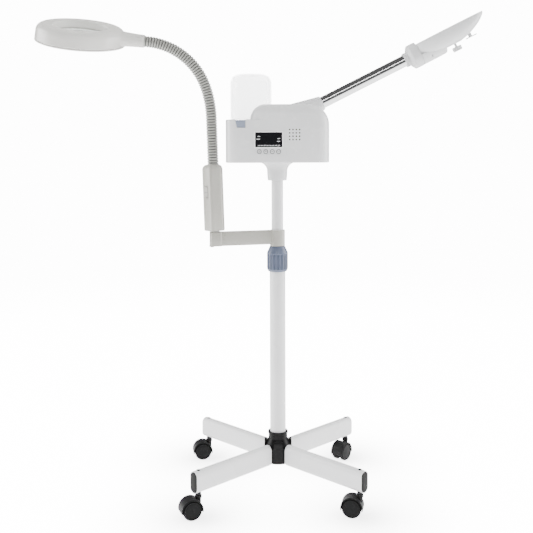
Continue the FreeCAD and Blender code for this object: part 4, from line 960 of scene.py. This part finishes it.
def makeHood():
    # half a circle made squarer, then drawn out and resized from section to section
    rim = hood["rim"]
    start, wide, floor = hood["sections"][0]
    deselectAll()
    bpy.ops.mesh.primitive_circle_add(vertices=56, radius=1)
    scoop = bpy.context.object
    scoop.name = "nozzleHood"
    bpy.ops.object.mode_set(mode="EDIT")
    bpy.ops.mesh.select_mode(type="VERT")
    cage = bmesh.from_edit_mesh(scoop.data)
    for vertex in cage.verts:
        vertex.select_set(vertex.co.y > 0.001)
    bmesh.update_edit_mesh(scoop.data)
    bpy.ops.mesh.delete(type="VERT")
    cage = bmesh.from_edit_mesh(scoop.data)
    for vertex in cage.verts:
        across = vertex.co.x
        down = max(0, -vertex.co.y)
        vertex.co = (start * mm, math.copysign(abs(across) ** 0.72, across) * wide * mm,
                     (rim - down ** 0.72 * (rim - floor)) * mm)
    bmesh.update_edit_mesh(scoop.data)
    bpy.ops.mesh.select_all(action="SELECT")
    bpy.ops.mesh.select_mode(type="EDGE")
    bpy.ops.mesh.select_all(action="SELECT")
    for (before, beforeWide, beforeFloor), (after, afterWide, afterFloor) in zip(hood["sections"],
            hood["sections"][1:]):
        bpy.ops.mesh.extrude_region_move(TRANSFORM_OT_translate={"value": ((after - before) * mm, 0, 0)})
        bpy.ops.transform.resize(value=(1, afterWide / beforeWide, (rim - afterFloor) / (rim - beforeFloor)),
                                 center_override=(after * mm, 0, rim * mm))
    bpy.ops.mesh.edge_face_add()
    bpy.ops.object.mode_set(mode="OBJECT")
    first = start * mm
    pickEdges(scoop, lambda e: all(abs(vertex.co.x - first) < 1e-6 for vertex in e.verts))
    bpy.ops.mesh.edge_face_add()
    bpy.ops.object.mode_set(mode="OBJECT")
    closeUp(scoop, 40)
    lowest = min(scoop.data.polygons, key=lambda face: face.center.z)
    if lowest.normal.z > 0:
        takeUp(scoop)
        bpy.ops.object.mode_set(mode="EDIT")
        bpy.ops.mesh.select_all(action="SELECT")
        bpy.ops.mesh.flip_normals()
        bpy.ops.object.mode_set(mode="OBJECT")
    applyModifier(scoop, "SOLIDIFY", {"thickness": hood["wall"] * mm, "offset": -1})
    softEdges(scoop, 0.0006, 2, 50)
    takeUp(scoop)
    bpy.ops.object.shade_smooth_by_angle(angle=math.radians(40))
    setPlace(scoop, armMatrix)
    knobPlace = (armMatrix.inverted() @ jointPoint("nozzle_knob_turn")).x / mm
    cutWith(scoop, rod("stalkHole", 3.1, armMatrix @ Vector((knobPlace * mm, 0, -0.024)) / mm,
                       armMatrix @ Vector((knobPlace * mm, 0, -0.01)) / mm))
    cutWith(scoop, rod("jetHole", 4.6, armMatrix @ Vector((0.25, 0, 0)) / mm, armMatrix @ Vector((0.266, 0,
            0)) / mm))
    takeUp(scoop)
    bpy.ops.object.shade_smooth_by_angle(angle=math.radians(40))
    finishPiece(scoop, "nozzle", finishes["nozzleShell"], ["nozzle_hood"])
    # a small lever under the scoop
    lever = block("nozzleLever", (377, -7, -21.5), (403, 7, -18.8))
    softEdges(lever, 0.0012, 3)
    stem = block("leverStem", (384, -2.5, -19.5), (392, 2.5, -10.5))
    softEdges(stem, 0.0006, 2)
    cutWith(lever, stem, "UNION")
    closeUp(lever, 30)
    setPlace(lever, armMatrix)
    finishPiece(lever, "nozzle", finishes["nozzleShell"])


def makeLockCollar():
    collar = turnUp("lockCollar", [(19.4, 527.4), (20, 527), (21.8, 527), (22.8, 527.6), (25, 532.4), (25.5,
            534.4),
                                   (25.5, 536), (25.5, 569), (25.5, 571.4), (25, 573.2), (18.8, 587), (17.8,
                                           588),
                                   (14.5, 588), (14.45, 587.4), (14.45, 584), (18.3, 584), (20.7, 566),
                                   (21.4, 565.6),
                                   (21.4, 558.2), (19.4, 558), (19.4, 527.4)], 72)
    flutes(collar, 18, (0.905, 23.5), 533, 570)
    closeUp(collar, 28)
    finishPiece(collar, "lock_collar", finishes["collarBlue"], ["lock_collar"])


def makeBracket():
    way = jointPoint("handle_turn")
    turn = Matrix.Rotation(math.atan2(way.y, way.x), 4, "Z")
    reach = math.hypot(way.x, way.y) / mm
    ring = turnUp("bracketRing", [(14.08, 588.4), (17.6, 588.4), (18.25, 589), (18.25, 626.4), (17.7, 627),
                                  (14.08, 627),
                                  (14.08, 588.4)], 72)
    arm = block("lampBracket", (15.5, -7, 593), (reach - 8, 7, 627))
    softEdges(arm, 0.0012, 3)
    foot = block("bracketFoot", (reach - 13.5, -13, 593), (reach + 13, 13, 627))
    bevelWhere(foot, lambda e: abs(e.verts[0].co.z - e.verts[1].co.z) > 0.01, 4.5, 6)
    softEdges(foot, 0.001, 3)
    lip = block("bracketLip", (reach + 6, -10.5, 591.4), (reach + 13.8, 10.5, 594))
    softEdges(lip, 0.0008, 2)
    for extra in (foot, lip, ring):
        cutWith(arm, extra, "UNION")
    bore = rod("bracketBore", 14.08, (0, 0, 580), (0, 0, 640), 72)
    cutWith(arm, bore)
    setPlace(arm, turn)
    cutWith(arm, rod("pinHole", 5.05, handleMatrix @ Vector((0, 0, -0.0265)) / mm, handleMatrix @ Vector((0,
            0, 0.005)) / mm))
    closeUp(arm, 30)
    finishPiece(arm, "lamp_bracket", finishes["lampShell"], ["lamp_bracket"])


handle = {"deep": 42, "wide": 40, "long": 157, "crown": 12, "front": 4.5, "back": 17}


def makeHandle():
    h = handle
    grip = block("handleShell", (-h["deep"] / 2, -h["wide"] / 2, 2), (h["deep"] / 2, h["wide"] / 2,
            h["long"] - h["crown"]))
    upright = lambda e: abs(e.verts[0].co.z - e.verts[1].co.z) > 0.01
    bevelWhere(grip, lambda e: upright(e) and e.verts[0].co.x < 0, h["back"], 10)
    bevelWhere(grip, lambda e: upright(e) and e.verts[0].co.x > 0.02, h["front"], 5)
    # the crown closes in like a quarter round, the foot has a small round
    pickFaces(grip, lambda face: face.normal.z > 0.9)
    half = h["deep"] / 2
    spot = h["long"] - h["crown"]
    scale = 1
    for step in range(1, 9):
        angle = math.radians(90 * step / 8)
        high = h["long"] - h["crown"] + h["crown"] * math.sin(angle)
        wanted = (half - h["crown"] * 0.85 * (1 - math.cos(angle))) / half
        bpy.ops.mesh.extrude_region_move(TRANSFORM_OT_translate={"value": (0, 0, (high - spot) * mm)})
        bpy.ops.transform.resize(value=(wanted / scale, wanted / scale, 1), center_override=(0, 0, high * mm))
        spot = high
        scale = wanted
    bpy.ops.object.mode_set(mode="OBJECT")
    pickFaces(grip, lambda face: face.normal.z < -0.9)
    bpy.ops.mesh.extrude_region_move(TRANSFORM_OT_translate={"value": (0, 0, -1.2 * mm)})
    bpy.ops.transform.resize(value=(0.985, 0.985, 1), center_override=(0, 0, 0.8 * mm))
    bpy.ops.mesh.extrude_region_move(TRANSFORM_OT_translate={"value": (0, 0, -0.8 * mm)})
    bpy.ops.transform.resize(value=(0.95, 0.95, 1), center_override=(0, 0, 0))
    bpy.ops.object.mode_set(mode="OBJECT")
    cutWith(grip, block("switchHole", (9, -8.3, 78.2), (30, 8.3, 105.8)))
    cutWith(grip, rod("pinRoom", 5.1, (0, 0, -5), (0, 0, 39)))
    cutWith(grip, rod("neckRoom", 14.1, (0, 0, h["long"] - 4), (0, 0, h["long"] + 5), 64))
    for name, node, low, high in (("handleOuter", "handle_outer_half", 0.08, 60), ("handleInner",
            "handle_inner_half", -60, -0.08)):
        side = copyOf(grip, name)
        cutWith(side, block("sideKeep", (-60, low, -20), (60, high, 200)), "INTERSECT")
        setPlace(side, handleMatrix)
        closeUp(side, 25)
        finishPiece(side, "lamp_handle", finishes["lampShell"], [node])
    bpy.data.objects.remove(grip)
    print("handle made")


def legMatrix(corner):
    stem = jointPoint(f"caster_swivel_{corner}")
    return Matrix.Rotation(math.atan2(stem.y, stem.x), 4, "Z")


legEnd = {"reach": 269, "middle": 82, "wide": 25, "tall": 50, "rim": 1.7}


def makeLegEnds():
    g = legEnd
    caps = []
    for corner in corners:
        place = legMatrix(corner) @ Matrix.Translation(((g["reach"] - 3) * mm, 0, g["middle"] * mm))
        rim = roundedSlab(f"legRim_{corner}", g["wide"], g["tall"], 3, g["wide"] / 2 - 0.02, 0)
        inner = roundedSlab("rimHole", g["wide"] - 2 * g["rim"], g["tall"] - 2 * g["rim"], 9,
                            g["wide"] / 2 - g["rim"] - 0.02, 0)
        setPlace(inner, Matrix.Translation((-3 * mm, 0, 0)))
        cutWith(rim, inner)
        softEdges(rim, 0.0004, 2, 60)
        closeUp(rim, 40)
        setPlace(rim, place)
        finishPiece(rim, "stand", finishes["powderCoat"])
        cap = roundedSlab("cap", g["wide"] - 2 * g["rim"] - 0.2, g["tall"] - 2 * g["rim"] - 0.2, 5.6,
                          g["wide"] / 2 - g["rim"] - 0.12, 1.1)
        setPlace(cap, place @ Matrix.Translation((-2.4 * mm, 0, 0)))
        caps.append(cap)
    cap = joinAll(caps, "legCaps")
    closeUp(cap, 40)
    finishPiece(cap, "stand", finishes["capBlack"], ["leg_end_caps"])
    print("leg ends made")


caster = {"radius": 22, "trail": 17.5, "half": 17.4, "hood": 25.25, "wall": 2.3, "skirt": -4}


def makeCaster(corner):
    c = caster
    outer = c["hood"]
    inner = c["hood"] - c["wall"]
    half = c["half"]
    hoodRing = turnUp(f"casterHood_{corner}", [(inner, -half), (outer - 1, -half), (outer, -half + 1),
                                               (outer, half - 1),
                                               (outer - 1, half), (inner, half), (inner, -half)], 80)
    web = turnUp("web", [(0, -5.4), (inner + 0.6, -5.4), (inner + 0.6, 5.4), (0, 5.4)], 80)
    cutWith(hoodRing, web, "UNION")
    setPlace(hoodRing, Matrix.Translation((c["trail"] * mm, 0,
                                           c["radius"] * mm)) @ Matrix.Rotation(math.pi / 2, 4, "X"))
    cutWith(hoodRing, block("hoodOpen", (-60, -40, -40), (80, 40, c["radius"] + c["skirt"])))
    eye = turnUp("eye", [(0, -5.4), (7.4, -5.4), (8, -4.8), (8, 4.8), (7.4, 5.4), (0, 5.4)], 48)
    setPlace(eye, Matrix.Translation((c["trail"] * mm, 0, c["radius"] * mm)) @ Matrix.Rotation(math.pi / 2,
            4, "X"))
    post = turnUp("post", [(0, 29), (6.2, 29), (6.2, 44), (7.8, 45.6), (7.8, 51), (7, 51.9), (0, 51.9)], 48)
    for extra in (eye, post):
        cutWith(hoodRing, extra, "UNION")
    cutWith(hoodRing, rod("stemBore", 4.08, (0, 0, 33), (0, 0, 60), 40))
    cutWith(hoodRing, rod("axleBore", 3.04, (c["trail"], -30, c["radius"]), (c["trail"], 30, c["radius"]),
                          40))
    softEdges(hoodRing, 0.0003, 2, 50)
    closeUp(hoodRing, 35)
    setPlace(hoodRing, casterMatrix(corner))
    finishPiece(hoodRing, f"caster_{corner}", finishes["casterBlack"],
                [f"caster_body_{corner}"])


def makeHubRim():
    # the turned lip on the hub's collar and the ears between the side legs
    lip = turnUp("hubLip", [(19.3, 134.6), (19.3, 131), (22.6, 131), (23.9, 129.8), (24.4, 130.4), (24.4,
            134.2),
                            (23.6, 135.2), (20, 135.2), (19.3, 134.6)], 72)
    finishPiece(lip, "stand", finishes["hubBlack"])
    ears = []
    for side in (0, 180, 90, 270):
        ear = block("ear", (27, -10, 98), (33, 10, 116))
        softEdges(ear, 0.0022, 4)
        pickFaces(ear, lambda face: face.normal.x > 0.9)
        bpy.ops.transform.resize(value=(1, 1.25, 0.8), center_override=(33 * mm, 0, 99 * mm))
        bpy.ops.object.mode_set(mode="OBJECT")
        setPlace(ear, Matrix.Rotation(math.radians(side), 4, "Z"))
        ears.append(ear)
    ears = joinAll(ears, "hubEars")
    closeUp(ears, 40)
    finishPiece(ears, "stand", finishes["hubBlack"])


makeHousing()
makeTankCatch()
makePanel()
makeNeckSocket()
makeNozzle()
makeLockCollar()
makeBracket()
makeHandle()
makeLegEnds()
for corner in corners:
    makeCaster(corner)
print("casters made")
makeHubRim()


view = {"lens": 57.53, "place": (-0.0256, -2.0556, 0.838), "down": 2.5, "roll": 0.2, "shift": -0.1627}


def makeCamera():
    data = bpy.data.cameras.new("camera")
    data.lens = view["lens"]
    data.sensor_width = 36
    data.shift_y = view["shift"]
    data.clip_end = 60
    camera = bpy.data.objects.new("camera", data)
    camera.location = view["place"]
    camera.rotation_euler = (math.radians(90 - view["down"]), math.radians(view["roll"]), 0)
    bpy.context.scene.collection.objects.link(camera)
    bpy.context.scene.camera = camera


def softBox(name, place, aim, wide, tall, watts, shows=True):
    data = bpy.data.lights.new(name, "AREA")
    data.shape = "RECTANGLE"
    data.size = wide
    data.size_y = tall
    data.energy = watts
    lamp = bpy.data.objects.new(name, data)
    lamp.location = place
    way = Vector(aim) - Vector(place)
    lamp.rotation_euler = way.to_track_quat("-Z", "Y").to_euler()
    lamp.visible_glossy = shows
    lamp.visible_camera = False
    lamp.visible_transmission = False
    bpy.context.scene.collection.objects.link(lamp)
    return lamp


studio = {"overhead": 40, "left": 60, "right": 56, "strip": 14, "front": 0.36, "side": 2.6, "backdrop": 14,
          "floor": 0.085}


def makeStudio():
    softBox("overheadBox", (0, 0.2, 3.2), (0, 0, 0), 3.6, 3.6, studio["overhead"], shows=False)
    softBox("leftBox", (-2.4, 0.25, 1.2), (0, 0, 0.8), 1.4, 2.4, studio["left"])
    softBox("rightBox", (2.4, 0.25, 1.2), (0, 0, 0.8), 1.4, 2.4, studio["right"])
    softBox("armStrip", (0.3, -2.3, 2.15), (0.2, 0, 0.98), 2.6, 0.16, studio["strip"])
    world = bpy.data.worlds.new("studio")
    bpy.context.scene.world = world
    world.use_nodes = True
    tree = world.node_tree
    path = tree.nodes.new("ShaderNodeLightPath")
    diffuse = Wire(tree, path.outputs["Is Diffuse Ray"])
    glossy = Wire(tree, path.outputs["Is Glossy Ray"])
    spot = tree.nodes.new("ShaderNodeTexCoord")
    parts = tree.nodes.new("ShaderNodeSeparateXYZ")
    tree.links.new(spot.outputs["Generated"], parts.inputs[0])
    across = Wire(tree, parts.outputs["X"])
    # brighter from both sides than from the front and above
    square = across * across
    soft = square * square * studio["side"] + studio["front"]
    strength = diffuse * soft + glossy * 0.12 + (1 - diffuse - glossy) * studio["backdrop"]
    tree.links.new(strength.socket, tree.nodes["Background"].inputs["Strength"])
    tree.nodes["Background"].inputs["Color"].default_value = (1, 1, 1, 1)


def makeFloor():
    deselectAll()
    bpy.ops.mesh.primitive_plane_add(size=50, location=(0, 18, 0))
    floor = bpy.context.object
    floor.name = "floor"
    bpy.ops.object.transform_apply(location=True, rotation=True, scale=True)
    bpy.ops.object.mode_set(mode="EDIT")
    bpy.ops.mesh.subdivide(number_cuts=6)
    bpy.ops.object.mode_set(mode="OBJECT")
    paper = Finish("paperFloor", Emission_Strength=studio["backdrop"])
    fibre = paper.noise(60, 4)
    # the far floor is dark to reflections, as the open room around the lit sheet would be
    far = paper.node("ShaderNodeVectorMath", {"operation": "DISTANCE"},
                     {0: paper.place(), 1: (0, 0, 0)}, output="Value")
    near = paper.node("ShaderNodeMapRange", {}, {"Value": far, "From Min": 2.2, "From Max": 3.4,
                                                 "To Min": 1.0, "To Max": 0.06}, output="Result")
    paper.feed("Base Color", paper.mix(fibre, colour(0.90, 0.90, 0.90), colour(0.87, 0.87, 0.87)) * near)
    paper.feed("Roughness", fibre * 0.1 + 0.8)
    # soft contact shadows lie round the casters and under the base
    glow = 1.0
    for corner in corners:
        stem = jointPoint(f"caster_swivel_{corner}")
        away = paper.node("ShaderNodeVectorMath", {"operation": "DISTANCE"},
                          {0: paper.place(), 1: (stem.x, stem.y, 0)}, output="Value")
        for reach, depth in ((0.16, 0.50), (0.06, 0.45)):
            fall = paper.node("ShaderNodeMath", {"operation": "MULTIPLY"}, {0: away, 1: 1 / reach})
            ebb = paper.node("ShaderNodeMath", {"operation": "EXPONENT"}, {0: fall * fall * -1})
            glow = glow * (1 - ebb * depth)
    seen = paper.node("ShaderNodeLightPath", output="Is Camera Ray")
    dim = near * studio["floor"]
    level = seen * (glow - dim) + dim
    paper.feed("Emission Color", level)
    floor.data.materials.append(paper.material)


makeCamera()
makeStudio()
makeFloor()

deselectAll()
